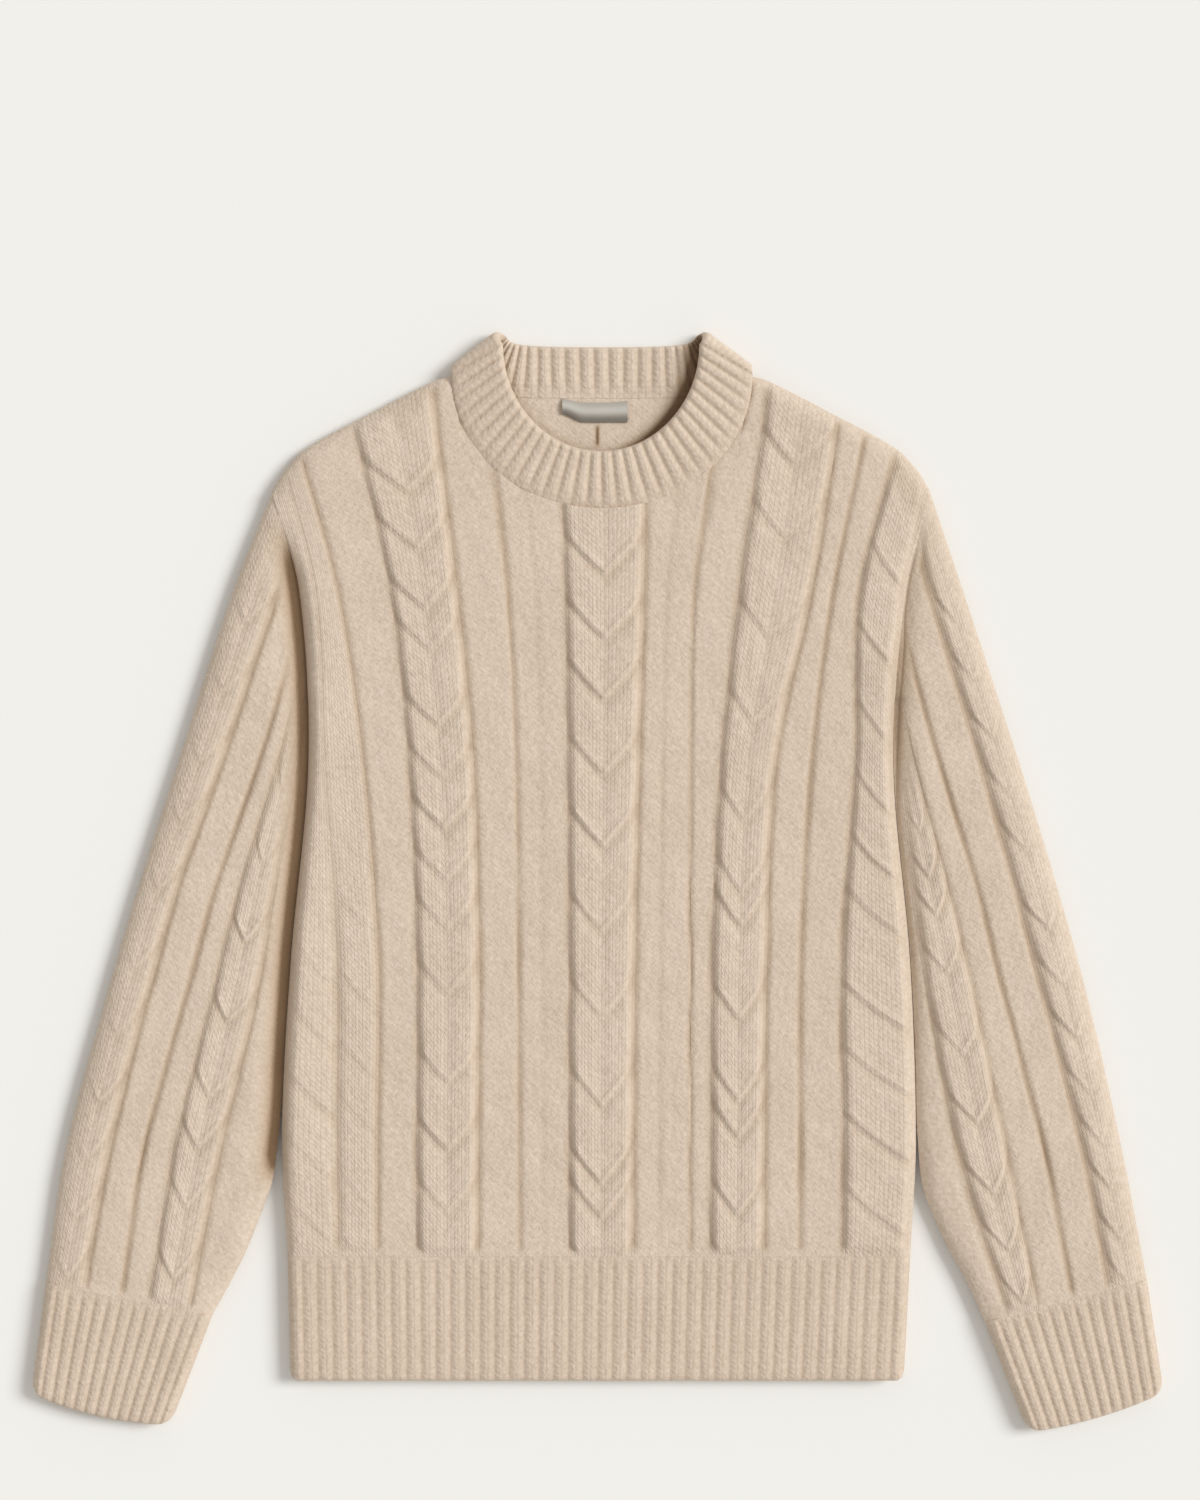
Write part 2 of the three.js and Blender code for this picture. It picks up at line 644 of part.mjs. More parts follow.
// Lines of a plain face. An inner face stops short of the edges that roll over.
function plainLines(keys, neckY, height, inset, shoulderRows) {
  return keys.map((key) => {
    const line = lineAt(key, neckY);
    const atSide = key === 0 || key === 3;
    const shoulder = isShoulder(key);
    const top = line.top - (shoulder ? inset * SHOULDER_SLANT : 0);
    const topRows = shoulder ? shoulderRows : [0, 12];
    const points = plainRows(top, HEM_SEAM_Y, topRows, atSide ? SIDE_SPACING : 60).reverse().map((y) => {
      let x = line.x(y);
      if (key === 0) x += Math.min(inset, sideInset(y));
      if (key === 3) x -= Math.min(inset, sideInset(y));
      return [x, y, height(x, y)];
    });
    return { points, family: `plain ${topRows.length} ${atSide}` };
  });
}

function frontPanel() {
  const keys = keysAlongTop(SHOULDER_SHARES, BAND_FRONT_RIBS);
  const inner = plainLines(keys, frontNeckY, frontInner, WALL, [0, 5, 14]);
  return panel('front_panel', frontOuterLines(), inner);
}

function backPanel() {
  const innerKeys = keysAlongTop(SHOULDER_SHARES, 2 * BAND_BACK_RIBS);
  const underKeys = keysAlongTop([0, 0.02, 0.07, 0.35, 0.7], 2 * BAND_BACK_RIBS);
  const inner = plainLines(innerKeys, backNeckY, backInner, WALL, [0, 5, 14]);
  const under = plainLines(underKeys, backNeckY, backOuter, 0, [0, 1.4, 4.8, 9.6]);
  return panel('back_panel', inner, under);
}

// Hem

const HEM_LEFT = curveThrough([[HEM_BOTTOM_Y, -209], [HEM_SEAM_Y, -211]]);
const HEM_RIGHT = curveThrough([[HEM_BOTTOM_Y, 208.5], [HEM_SEAM_Y, 213]]);
const HEM_WIDTH = 420;
const HEM_CORNER = 7;
const OPEN_EDGE_ROUND = 5;
const OPEN_EDGE_THINNING = 0.22;

// Open bottom edge of the hem, rounded off at its two corners
function hemBottom(share) {
  const fromCorner = Math.min(share, 1 - share) * HEM_WIDTH;
  return HEM_BOTTOM_Y + HEM_CORNER * (1 - roundOver(fromCorner, HEM_CORNER));
}

function hemLines(shares, drops, inset, height) {
  return shares.map((share) => {
    const bottom = hemBottom(share);
    const points = drops.map((drop) => {
      const y = mix(bottom, HEM_SEAM_Y - SEAM_GAP, drop);
      const x = mix(HEM_LEFT(y) + inset, HEM_RIGHT(y) - inset, share);
      return [x, y, height(x, y, share)];
    });
    return { points, family: `hem ${drops.length}` };
  });
}

function hemShare(x, y, inset, round) {
  const side = Math.min(x - HEM_LEFT(y), HEM_RIGHT(y) - x) - inset;
  return roundOver(side, round);
}

function openEdge(distance) {
  return 1 - OPEN_EDGE_THINNING * (1 - roundOver(distance, OPEN_EDGE_ROUND));
}

function hemFront() {
  const ribs = Array.from({ length: 2 * HEM_RIBS + 1 }, (_, i) => i / (2 * HEM_RIBS));
  const outerShares = [0, 0.004, ...ribs.slice(1, -1), 0.996, 1];
  const outer = (x, y, share) => {
    const ridge = 0.5 - 0.5 * Math.cos(2 * Math.PI * share * HEM_RIBS);
    const edge = Math.min(x - HEM_LEFT(y), HEM_RIGHT(y) - x);
    const full = RISE * hemShare(x, y, 0, SIDE_ROUND);
    const rib = HEM_RIB * (ridge - 0.5) * ease(0, 6, edge) * ease(0, SEAM_FADE, HEM_SEAM_Y - y);
    return UPPER + (full + rib) * openEdge(y - HEM_BOTTOM_Y);
  };
  const inner = (x, y) => UPPER + INSIDE_RISE * hemShare(x, y, WALL, SIDE_ROUND - WALL);
  const innerShares = [0, 0.01, 0.04, 0.25, 0.5, 0.75, 0.96, 0.99, 1];
  return panel('hem_front', hemLines(outerShares, [0, 0.06, 0.5, 0.9, 1], 0, outer),
    hemLines(innerShares, [0, 0.5, 1], WALL, inner));
}

function hemBack() {
  const outer = (x, y) => LOWER - RISE * hemShare(x, y, 0, UNDER_ROUND);
  const inner = (x, y) => LOWER - INSIDE_RISE * hemShare(x, y, WALL, SIDE_ROUND - WALL);
  const innerShares = [0, 0.01, 0.04, 0.25, 0.5, 0.75, 0.96, 0.99, 1];
  const outerShares = [0, 0.003, 0.01, 0.02, 0.25, 0.5, 0.75, 0.98, 0.99, 0.997, 1];
  return panel('hem_back', hemLines(innerShares, [0, 0.5, 1], WALL, inner),
    hemLines(outerShares, [0, 0.5, 1], 0, outer));
}

// Sleeves

function armholePoint(spec, key) {
  const y = mix(SHOULDER_TIP_Y, UNDERARM_Y, key);
  const edge = spec.side < 0 ? leftEdge(y) : rightEdge(y);
  return [edge + spec.side * SEAM_GAP, y];
}

function cuffSeamPoint(spec, key) {
  const lift = SEAM_GAP / 2;
  return [
    mix(spec.seamOuter[0], spec.seamInner[0], key),
    mix(spec.seamOuter[1], spec.seamInner[1], key) + lift,
  ];
}

function bodyEdge(spec, y) {
  return spec.side < 0 ? leftEdge(y) : rightEdge(y);
}

// The sleeve's named lines, as X over Y with the two ends
function sleeveLine(spec, line) {
  if (line.leaves) {
    const leave = curveThrough([...line.leaves, [UNDERARM_Y, 0]]);
    const x = (y) => bodyEdge(spec, y) + spec.side * (SLEEVE_CLEAR_OF_BODY + Math.max(0, leave(y)));
    return { x, top: 1, bottom: 1 };
  }
  const [topX, topY] = armholePoint(spec, line.top);
  const [bottomX, bottomY] = cuffSeamPoint(spec, line.bottom);
  const stations = SLEEVE_STATIONS
    .map((y, i) => [y, line.at[i]])
    .filter(([y]) => y < topY - 12);
  return {
    x: curveThrough([[bottomY, bottomX], ...stations, [topY, topX]]),
    top: line.top,
    bottom: line.bottom,
  };
}

// A line between two others, drawn to end exactly on the armhole and on the cuff seam
function sleeveBetween(spec, a, b, share, inset = 0) {
  const insetShare = inset * CUFF_MARGIN_PER_MM;
  const topKeyHere = clampKey(mix(a.top, b.top, share), inset ? ARMHOLE_MARGIN : 0);
  const bottomKeyHere = clampKey(mix(a.bottom, b.bottom, share), insetShare);
  const [topX, topY] = armholePoint(spec, topKeyHere);
  const [bottomX, bottomY] = cuffSeamPoint(spec, bottomKeyHere);
  const fromFold = (y) => a.x(y) - spec.side * inset;
  const fromBody = (y) => b.x(y) + spec.side * inset * (1 - ease(UNDERARM_Y - 10, UNDERARM_Y + 10, y));
  const plain = (y) => mix(fromFold(y), fromBody(y), share);
  const topShift = topX - plain(topY);
  const bottomShift = bottomX - plain(bottomY);
  const x = (y) => plain(y)
    + topShift * (1 - ease(0, END_BLEND, topY - y))
    + bottomShift * (1 - ease(0, END_BLEND, y - bottomY));
  return { x, topY, bottomY };
}

function clampKey(key, margin) {
  return Math.min(Math.max(key, margin), 1 - margin);
}

function sleeveFaces(spec) {
  const named = Object.fromEntries(
    ['outer', 'ridge_a', 'ridge_b', 'cable_a', 'cable_b', 'inner']
      .map((key) => [key, sleeveLine(spec, spec[key])]),
  );
  const lanes = [
    { from: 'outer', to: 'ridge_a', knit: 'cable', crossings: spec.outerCrossings, fall: 28 },
    { from: 'ridge_a', to: 'ridge_b', knit: 'ground', valleys: [[0, spec.valley], [1, spec.valley]] },
    { from: 'ridge_b', to: 'cable_a', knit: 'ground', valleys: [[0, spec.valley], [1, 0.5]], slices: 2 },
    { from: 'cable_a', to: 'cable_b', knit: 'cable', crossings: spec.innerCrossings, fall: 30 },
    { from: 'cable_b', to: 'inner', knit: 'ground', valleys: [[0, 0.6]], slices: 3 },
  ];
  const crease = spec.side < 0 ? CREASES.left : CREASES.right;
  const outerFold = named.outer;
  const innerFold = named.inner;

  const edges = (x, y) => {
    const fromOuter = spec.side * (outerFold.x(y) - x) * SLEEVE_SLANT;
    const fromBody = spec.side * (x - innerFold.x(y));
    return [fromOuter, fromBody];
  };
  const topHeight = (x, y, inset, full, round) => {
    const [fromOuter, fromBody] = edges(x, y);
    const low = sideStand(y, crease);
    const tucked = crease.tuck * creaseDepth(y, crease);
    const inner = low + (1 - low) * roundOver(fromBody - inset - tucked, SLEEVE_INNER_ROUND - inset);
    return MIDDLE + full * roundOver(fromOuter - inset, round) * inner;
  };
  const underHeight = (x, y, inset, full) => {
    const [fromOuter, fromBody] = edges(x, y);
    const low = backStand(y);
    const inner = low + (1 - low) * roundOver(fromBody - inset, UNDER_ROUND);
    return MIDDLE - full * roundOver(fromOuter - inset, UNDER_ROUND) * inner;
  };
  return { named, lanes, edges, topHeight, underHeight };
}

function sleeve(name) {
  const spec = SLEEVES[name];
  const { named, lanes, edges, topHeight, underHeight } = sleeveFaces(spec);
  const rise = MIDDLE;
  const insideRise = MIDDLE - WALL;

  const outerTop = [];
  lanes.forEach((lane, index) => {
    const a = named[lane.from];
    const b = named[lane.to];
    const last = index === lanes.length - 1;
    let shares = sharesAcross(lane, index === 0, false);
    if (last) shares = [0, 0.4, 0.75, 0.93, 1];
    shares.forEach((share) => {
      const before = lanes[index - 1];
      if (share === 0 && before && before.knit !== 'ground') return;
      const after = lanes[index + 1];
      if (share === 1 && !last && (lane.knit === 'ground' || after.knit !== 'ground')) return;
      const line = sleeveBetween(spec, a, b, share);
      const topRows = [0, 4, 11, 22];
      const rows = lane.knit === 'ground'
        ? plainRows(line.topY, line.bottomY, topRows, last ? 24 : 36)
        : strandRows(lane, share, line.topY, line.bottomY, topRows);
      const points = rows.reverse().map((y) => {
        const x = line.x(y);
        const [fromOuter, fromBody] = edges(x, y);
        const mask = ease(0, 7, fromOuter) * ease(2, 12, fromBody) * ease(0, SEAM_FADE, y - line.bottomY);
        const bump = relief(lane, share, y, Math.abs(b.x(y) - a.x(y))) * mask;
        return [x, y, topHeight(x, y, 0, rise, SLEEVE_OUTER_ROUND) + bump];
      });
      outerTop.push({ points, family: `${lane.from}` });
    });
  });

  const face = (shares, rows, inset, height) => shares.map((share) => {
    const line = sleeveBetween(spec, named.outer, named.inner, share, inset);
    const points = plainRows(line.topY, line.bottomY, rows, 50).reverse().map((y) => {
      const x = line.x(y);
      return [x, y, height(x, y)];
    });
    return { points, family: `face ${inset}` };
  });
  const outerBottom = face([0.03, 0.09, 0.2, 0.3, 0.4, 0.5, 0.6, 0.7, 0.8, 0.9, 0.97], [0, 10], 0,
    (x, y) => underHeight(x, y, 0, rise));
  const innerRows = [0, 6, 22];
  const innerTop = face([0, 0.1, 0.2, 0.3, 0.4, 0.5, 0.6, 0.7, 0.85, 1], innerRows, WALL,
    (x, y) => topHeight(x, y, WALL, insideRise, SLEEVE_OUTER_ROUND - WALL));
  const innerBottom = face([0.1, 0.3, 0.5, 0.7, 0.9], innerRows, WALL,
    (x, y) => underHeight(x, y, WALL, insideRise));

  const faces = { outerTop, outerBottom, innerTop, innerBottom };
  if (spec.side > 0) Object.values(faces).forEach((lines) => lines.reverse());
  return tube(name, faces);
}

// Cuffs

function cuff(name) {
  const spec = CUFFS[name];
  const arm = SLEEVES[spec.sleeve];
  const drop = SEAM_GAP / 2;

  const at = (share, down) => {
    const seam = [
      mix(arm.seamOuter[0], arm.seamInner[0], share),
      mix(arm.seamOuter[1], arm.seamInner[1], share) - drop,
    ];
    const bow = 4 * share * (1 - share) * spec.bow;
    const open = [
      mix(spec.openOuter[0], spec.openInner[0], share),
      mix(spec.openOuter[1], spec.openInner[1], share) - bow,
    ];
    return [mix(seam[0], open[0], down), mix(seam[1], open[1], down)];
  };
  const width = (down) => mix(CUFF_SEAM_WIDTH, CUFF_OPEN_WIDTH, down);
  const lines = (shares, downs, inset, height) => shares.map((share) => {
    const points = downs.map((down) => {
      const margin = inset / width(down);
      const here = mix(margin, 1 - margin, share);
      const [x, y] = at(here, down);
      const side = Math.min(here, 1 - here) * width(down) - inset;
      return [x, y, height(here, side, down)];
    });
    return { points, family: `cuff ${inset}` };
  });
  const ribs = Array.from({ length: 2 * CUFF_RIBS - 1 }, (_, i) => (i + 1) / (2 * CUFF_RIBS));
  const topShares = [0, 0.015, ...ribs, 0.985, 1];
  const outerTop = lines(topShares, [1, 0.94, 0.5, 0.1, 0], 0, (share, side, down) => {
    const ridge = 0.5 - 0.5 * Math.cos(2 * Math.PI * share * CUFF_RIBS);
    const rib = CUFF_RIB * (ridge - 0.5) * ease(0, 6, side) * ease(0, SEAM_FADE, down * CUFF_LENGTH);
    const full = MIDDLE * roundOver(side, SIDE_ROUND);
    return MIDDLE + (full + rib) * openEdge((1 - down) * CUFF_LENGTH);
  });
  const outerBottom = lines([0.025, 0.07, 0.5, 0.93, 0.975], [1, 0.5, 0], 0,
    (share, side) => MIDDLE - MIDDLE * roundOver(side, UNDER_ROUND));
  const insideRise = MIDDLE - WALL;
  const innerTop = lines([0, 0.04, 0.2, 0.5, 0.8, 0.96, 1], [1, 0.5, 0], WALL,
    (share, side) => MIDDLE + insideRise * roundOver(side, SIDE_ROUND - WALL));
  const innerBottom = lines([0.04, 0.5, 0.96], [1, 0.5, 0], WALL,
    (share, side) => MIDDLE - insideRise * roundOver(side, SIDE_ROUND - WALL));

  const faces = { outerTop, outerBottom, innerTop, innerBottom };
  if (arm.side > 0) Object.values(faces).forEach((list) => list.reverse());
  return tube(name, faces);
}

// Neckband

// A point of the band's middle surface. Place runs round the neck: the front from -1 at the
// left to 1 at the right, or the back from 1 to -1. Up runs from the seam to the free edge.
function bandFront(place, up) {
  const angle = place * Math.PI / 2;
  const seam = [
    NECK_X + (NECK_SIDE - BAND_GAP) * Math.sin(angle),
    NECK_MIDDLE_Y - (FRONT_NECK_DEPTH - BAND_GAP) * Math.cos(angle),
  ];
  const free = [
    BAND_FREE.x + BAND_FREE.side * Math.sin(angle),
    BAND_FREE.y - BAND_FREE.frontDepth * Math.cos(angle),
  ];
  const lift = BAND_FREE_LIFT + BAND_SIDE_LIFT * Math.sin(angle) ** 2;
  return [mix(seam[0], free[0], up), mix(seam[1], free[1], up), BAND_SEAM_HEIGHT + lift * up];
}

function bandBack(place, up) {
  const angle = place * Math.PI / 2;
  const across = Math.sin(angle);
  const seamDip = (BACK_NECK_DEPTH - BAND_GAP) * Math.sqrt(1 - Math.min(1, across ** 4));
  const seam = [NECK_X + (NECK_SIDE - BAND_GAP) * across, NECK_MIDDLE_Y - seamDip];
  const corner = BAND_BACK_EDGE.cornerX;
  const furthest = 1 + (NECK_SIDE / corner) ** 4;
  const upright = (furthest / (1 + (NECK_SIDE * Math.abs(across) / corner) ** 4)) ** 0.25;
  const free = [
    BAND_FREE.x + corner * across * upright,
    BAND_BACK_EDGE.y + BAND_BACK_EDGE.cornerRise * Math.abs(across) ** 2.5,
  ];
  return [mix(seam[0], free[0], up), mix(seam[1], free[1], up), BAND_HALF];
}

// The fold at one side, from the front round to the back as turn goes from 0 to 1
function bandFold(side, turn, up) {
  const from = bandFront(side, up);
  const to = bandBack(side, up);
  const angle = turn * Math.PI;
  const share = 0.5 - 0.5 * Math.cos(angle);
  const bulge = (from[2] - to[2]) / 2 * Math.sin(angle);
  const out = [side * mix(0, 0.6, up), mix(1, 0.8, up)];
  return [
    mix(from[0], to[0], share) + out[0] * bulge,
    mix(from[1], to[1], share) + out[1] * bulge,
    mix(from[2], to[2], share),
  ];
}

function bandSections() {
  const sections = [];
  const front = 2 * BAND_FRONT_RIBS;
  const back = 2 * BAND_BACK_RIBS;
  for (let i = 0; i <= front; i += 1) {
    const atEnd = i === 0 || i === front;
    sections.push({ at: (up) => bandFront(2 * i / front - 1, up), facesUp: 1, atEnd });
  }
  for (const turn of [0.25, 0.5, 0.75]) {
    sections.push({ at: (up) => bandFold(1, turn, up), facesUp: 1 - turn, atEnd: true });
  }
  for (let i = 0; i <= back; i += 1) {
    const atEnd = i === 0 || i === back;
    sections.push({ at: (up) => bandBack(1 - 2 * i / back, up), facesUp: 0, atEnd });
  }
  for (const turn of [0.75, 0.5, 0.25]) {
    sections.push({ at: (up) => bandFold(-1, turn, up), facesUp: 1 - turn, atEnd: true });
  }
  return sections;
}

function neckband() {
  const sections = bandSections();
  const vector = (point) => new THREE.Vector3(...point);
  const heights = [0, 0.1, 0.5, 0.9];
  const lines = sections.map((section, i) => {
    const before = sections[(i + sections.length - 1) % sections.length];
    const after = sections[(i + 1) % sections.length];
    const offset = (up, outward) => {
      const low = Math.max(up - 0.05, 0);
      const high = Math.min(up + 0.05, 1);
      const along = vector(after.at(up)).sub(vector(before.at(up)));
      const upward = vector(section.at(high)).sub(vector(section.at(low)));
      const normal = along.clone().cross(upward).normalize();
      if (up === 0) {
        // The seam's edge face stays in the upright surface through the seam
        const across = section.atEnd
          ? new THREE.Vector3(1, 0, 0)
          : new THREE.Vector3(-along.y, along.x, 0).normalize();
        normal.addScaledVector(across, -normal.dot(across)).normalize();
      }
      const facing = outward > 0 ? section.facesUp : 1 - section.facesUp;
      const ridge = i % 2 === 1 ? BAND_RIB * ease(-0.05, BAND_RIB_GROWN, up) : 0;
      const size = BAND_HALF + ridge * facing;
      return vector(section.at(up)).addScaledVector(normal, outward * size).toArray();
    };
    const tip = vector(section.at(1)).toArray();
    return [
      ...heights.map((up) => offset(up, 1)),
      tip,
      ...heights.slice().reverse().map((up) => offset(up, -1)),
    ];
  });
  const shell = new Shell();
  const rings = lines.map((points) => shell.line(points, 'band'));
  rings.forEach((ring, i) => {
    const next = rings[(i + 1) % rings.length];
    shell.strip(ring, next);
    // The edge face at the seam closes each section
    shell.indices.push(ring.at(-1), next.at(-1), ring[0], ring[0], next.at(-1), next[0]);
  });
  return shell.mesh('neckband', WOOL);
}

// Label

function neckLabel() {
  const lift = SEAM_GAP;
  const xs = [0, 0.5, 1].map((share) => mix(LABEL.left, LABEL.right, share));
  const column = (extra) => xs.map((x) => ({
    points: [LABEL.bottom, LABEL.top].map((y) => [x, y, backInner(x, y) + lift + extra]),
    family: 'label',
  }));
  return panel('neck_label', column(LABEL.thickness), column(0), SATIN);
}

const sweater = new THREE.Group();
sweater.add(frontPanel(), backPanel(), hemFront(), hemBack());
sweater.add(sleeve('sleeve_left'), sleeve('sleeve_right'), cuff('cuff_left'), cuff('cuff_right'));
sweater.add(neckband(), neckLabel());

const reach = new THREE.Box3().setFromObject(sweater, true);
sweater.position.set(-(reach.min.x + reach.max.x) / 2, -(reach.min.y + reach.max.y) / 2, -reach.min.z);

export default sweater;
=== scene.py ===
import math

import bpy
import numpy as np
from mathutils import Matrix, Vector


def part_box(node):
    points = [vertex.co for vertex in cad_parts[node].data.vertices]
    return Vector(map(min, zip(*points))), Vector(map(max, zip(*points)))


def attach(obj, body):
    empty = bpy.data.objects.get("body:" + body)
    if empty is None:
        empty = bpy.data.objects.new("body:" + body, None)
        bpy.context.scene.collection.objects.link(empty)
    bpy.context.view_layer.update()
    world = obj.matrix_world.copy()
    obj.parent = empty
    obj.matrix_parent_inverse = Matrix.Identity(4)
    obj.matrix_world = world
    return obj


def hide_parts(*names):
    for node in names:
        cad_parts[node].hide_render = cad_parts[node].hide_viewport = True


# A cable knit sweater laid flat on its back, front up. Sizes are millimetres in the same
# drawing as the solids; the meshes are made in metres and moved onto the solids' place.
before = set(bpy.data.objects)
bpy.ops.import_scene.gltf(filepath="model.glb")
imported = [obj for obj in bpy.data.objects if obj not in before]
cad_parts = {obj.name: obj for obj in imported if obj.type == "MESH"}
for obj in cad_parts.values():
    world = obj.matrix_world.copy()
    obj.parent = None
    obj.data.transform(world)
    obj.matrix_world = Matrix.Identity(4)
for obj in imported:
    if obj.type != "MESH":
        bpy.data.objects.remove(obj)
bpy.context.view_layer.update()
MM = 0.001

# Cloth and layers
WALL = 5.0
SEAM_GAP = 0.3
SEAM_SHOWN = -0.25
HALF_ROOM = 1.5
MIDDLE = WALL + HALF_ROOM
RISE = MIDDLE - SEAM_GAP / 2
INSIDE_RISE = RISE - WALL
UPPER = MIDDLE + SEAM_GAP / 2
LOWER = MIDDLE - SEAM_GAP / 2
SIDE_ROUND = 8.0
SLEEVE_OUTER_ROUND = 14.0
SHOULDER_ROUND = 14.0
SLEEVE_INNER_ROUND = 20.0
FOLD_WALL = 0.12
SHARP_EDGE = math.radians(60)
# A wall's thickness measured down the page from a slanting shoulder is this much more
SHOULDER_SLANT = 1.2

# Deep creases beside the body: how far the sleeve is tucked down, how far and how dark the shade painted on
# it lies, how dark the shade painted on the body's rim is, how far the cloth puffs up, how low both edges
# stand, and how far from the body the sleeve's relief is whole near the shoulder. Each crease deepens
# between the two heights of "starts" and fades between the two of "ends"
CREASES = {
    -1: {
        "tuck": 8.0, "reach": 10.0, "dark": 2.6, "rim": 0.9, "puff": 2.2, "low": 0.22, "whole": 12,
        "starts": (-214, -180), "ends": (205, 258),
    },
    1: {
        "tuck": 3.5, "reach": 8.0, "dark": 1.4, "rim": 0.6, "puff": 1.2, "low": 0.42, "whole": 6,
        "starts": (-150, -60), "ends": (215, 258),
    },
}
# Where the rim's shade ends, and where the puff is highest and ends, in from the side
RIM_SHADE = (0.5, 5.5)
PUFF_TOP = 7.0
PUFF_END = 34.0
UNDER_ROUND = 8.0

# Knitted relief
CABLE_HEIGHT = 2.5
ROPE_HEIGHT = 2.6
GROOVE_DEPTH = 1.1
GROOVE_HALF = 2.2
# Painted shade in the grooves, and how much at most
GROOVE_SHADE = 1.3
GROOVE_SHADE_MOST = 1.2
BORDER = 6.0
# Painted shade in the border valleys
BORDER_SHADE = 0.2
SCALLOP = 2.2
SWEEP_POWER = 0.7
FULL_RELIEF_WIDTH = 40.0
ROPE_FADE = 50.0
# Relief and unevenness die out over these lengths at a rounded rim and at a seam
PLAIN_RIM = 9.0
PLAIN_SEAM = 8.0
# The size of a stitch
WALE = 5.0
COURSE = 3.6

# A strand between two crossings: its height where it dives, how far it takes to rise, the stroke at a
# crossing and the shade painted in it, and the crest beside the stroke
VALLEY = 0.61
STRAND_RISE = 12.0
STROKE_WIDTH = 3.6
STROKE_SHADE = 0.1
CREST = 0.3
CREST_HALF = 2.6
PAST_LAST_CROSSING = 50.0

# Ribs: height, height that counts as the plain face, painted shade in the valleys, and how much darker the
# whole is
CUFF_RIB = 1.15
HEM_RIB = 0.85
RIB_MEAN = 0.55
RIB_RIM = 6.0
OPEN_EDGE = 6.0
HEM_SHADE = 0.3
CUFF_SHADE = 0.36
BAND_SHADE = 0.4
RIB_TONE = 0.86

# Body
HEM_SEAM_Y = -252.0
HEM_BOTTOM_Y = -337.0
HEM_WIDE = 420.0
HEM_CORNER = 7.0
SHOULDER_TIP_Y = 268.0
UNDERARM_Y = 126.0
SHOULDER_MIDDLE_X = 2.5
BODY_STATIONS = [HEM_SEAM_Y, -170, -51, 85, 200]

# Neck
NECK_X = 3.0
NECK_SIDE = 101.8
NECK_MIDDLE_Y = 346.0
FRONT_NECK_DEPTH = 90.0
BACK_NECK_DEPTH = 14.0

# Wale lines of the body: X at the stations up the body and at the top edge, and what is knitted up
# to the next line: knit, crossings or ribs, fall, and for a rope that fades up the body its
# strength, the height where it fades, and the groove left at its end
BODY_LINES = {
    "side_left": ([-211, -215, -209, -197, -203], -221.5, ("rope", "flank", 42, 0.6, -20, 0.3)),
    "flank_left": ([-176, -177, -177, -185, -191], -212, ("rope", "panel", 34, 0.5, 10, 1.0)),
    "panel_left": ([-149, -149, -148.5, -159, -176], -202, ("ground", ((0, 1), (1, 0.5)), 0)),
    "left_cable_a": ([-124, -124, -124, -129.5, -142], -167.5, ("cable", "left", 30)),
    "left_cable_b": ([-80.5, -80.5, -80, -84, -95], -112.5, ("ground", ((0, 1),), 0)),
    "neck_left": ([-66, -66, -66, -69, -77], NECK_X - NECK_SIDE, ("ground", ((1, 1),), 0)),
    "ground_left": ([-52.5, -53, -53.5, -55, -61], -69, ("ground", ((0, 1), (0.5, 0.25), (1, 0.5)), 0)),
    "centre_cable_a": ([-20.5, -20.5, -20.5, -21.5, -23], -25, ("cable", "centre", 35)),
    "centre_cable_b": ([25, 25, 26, 29, 32], 33, ("ground", ((0, 0.9), (0.45, 0.35), (1, 0.9)), 0)),
    "ground_right": ([63, 63, 63, 63.5, 66], 77, ("ground", ((0, 0.9),), 0)),
    "neck_right": ([69, 69, 70, 74, 82], NECK_X + NECK_SIDE, ("ground", ((1, 0.6),), 0)),
    "right_cable_a": ([75, 76, 76.5, 82.5, 95], 115.5, ("cable", "right", 34)),
    "right_cable_b": ([114, 114, 115.5, 122, 146], 165, ("ground", ((0, 0.9), (0.46, 1.3), (1, 0.8)), 0)),
    "panel_right": ([165, 166, 165, 174, 177], 203, ("rope", "side_right", 42)),
    "side_right": ([213, 217, 213, 201.5, 210], 226.5),
}

# Heights at which the strands cross, from the neck down
CROSSINGS = {
    "flank": [230, 180, 125, 70, 15, -30, -72, -118, -160, -205],
    "panel": [240, 190, 140, 95, 45, 0, -54, -100, -137, -190, -232],
    "left": [296, 257, 216, 188, 137, 102, 67, 32, -1, -45, -105, -151, -193, -238],
    "centre": [245, 201, 160, 109, 60, 2, -56, -116, -169, -192, -236],
    "right": [318, 269, 202, 143, 76, 28, 5, -58, -114, -139, -191, -233],
    "side_right": [240, 185, 133, 85, 41, 3, -61, -105, -150, -200],
    "sleeve_left_outer": [205, 158, 110, 70, 23, -31, -75, -121, -160, -200, -240],
    "sleeve_left_inner": [95, 44, -10, -65, -116, -150, -190, -239],
    "sleeve_right_outer": [205, 166, 127, 88, 50, -3, -41, -77, -115, -148, -180, -214, -245],
    "sleeve_right_inner": [65, 34, 8, -31, -86, -133, -181, -220, -255],
}

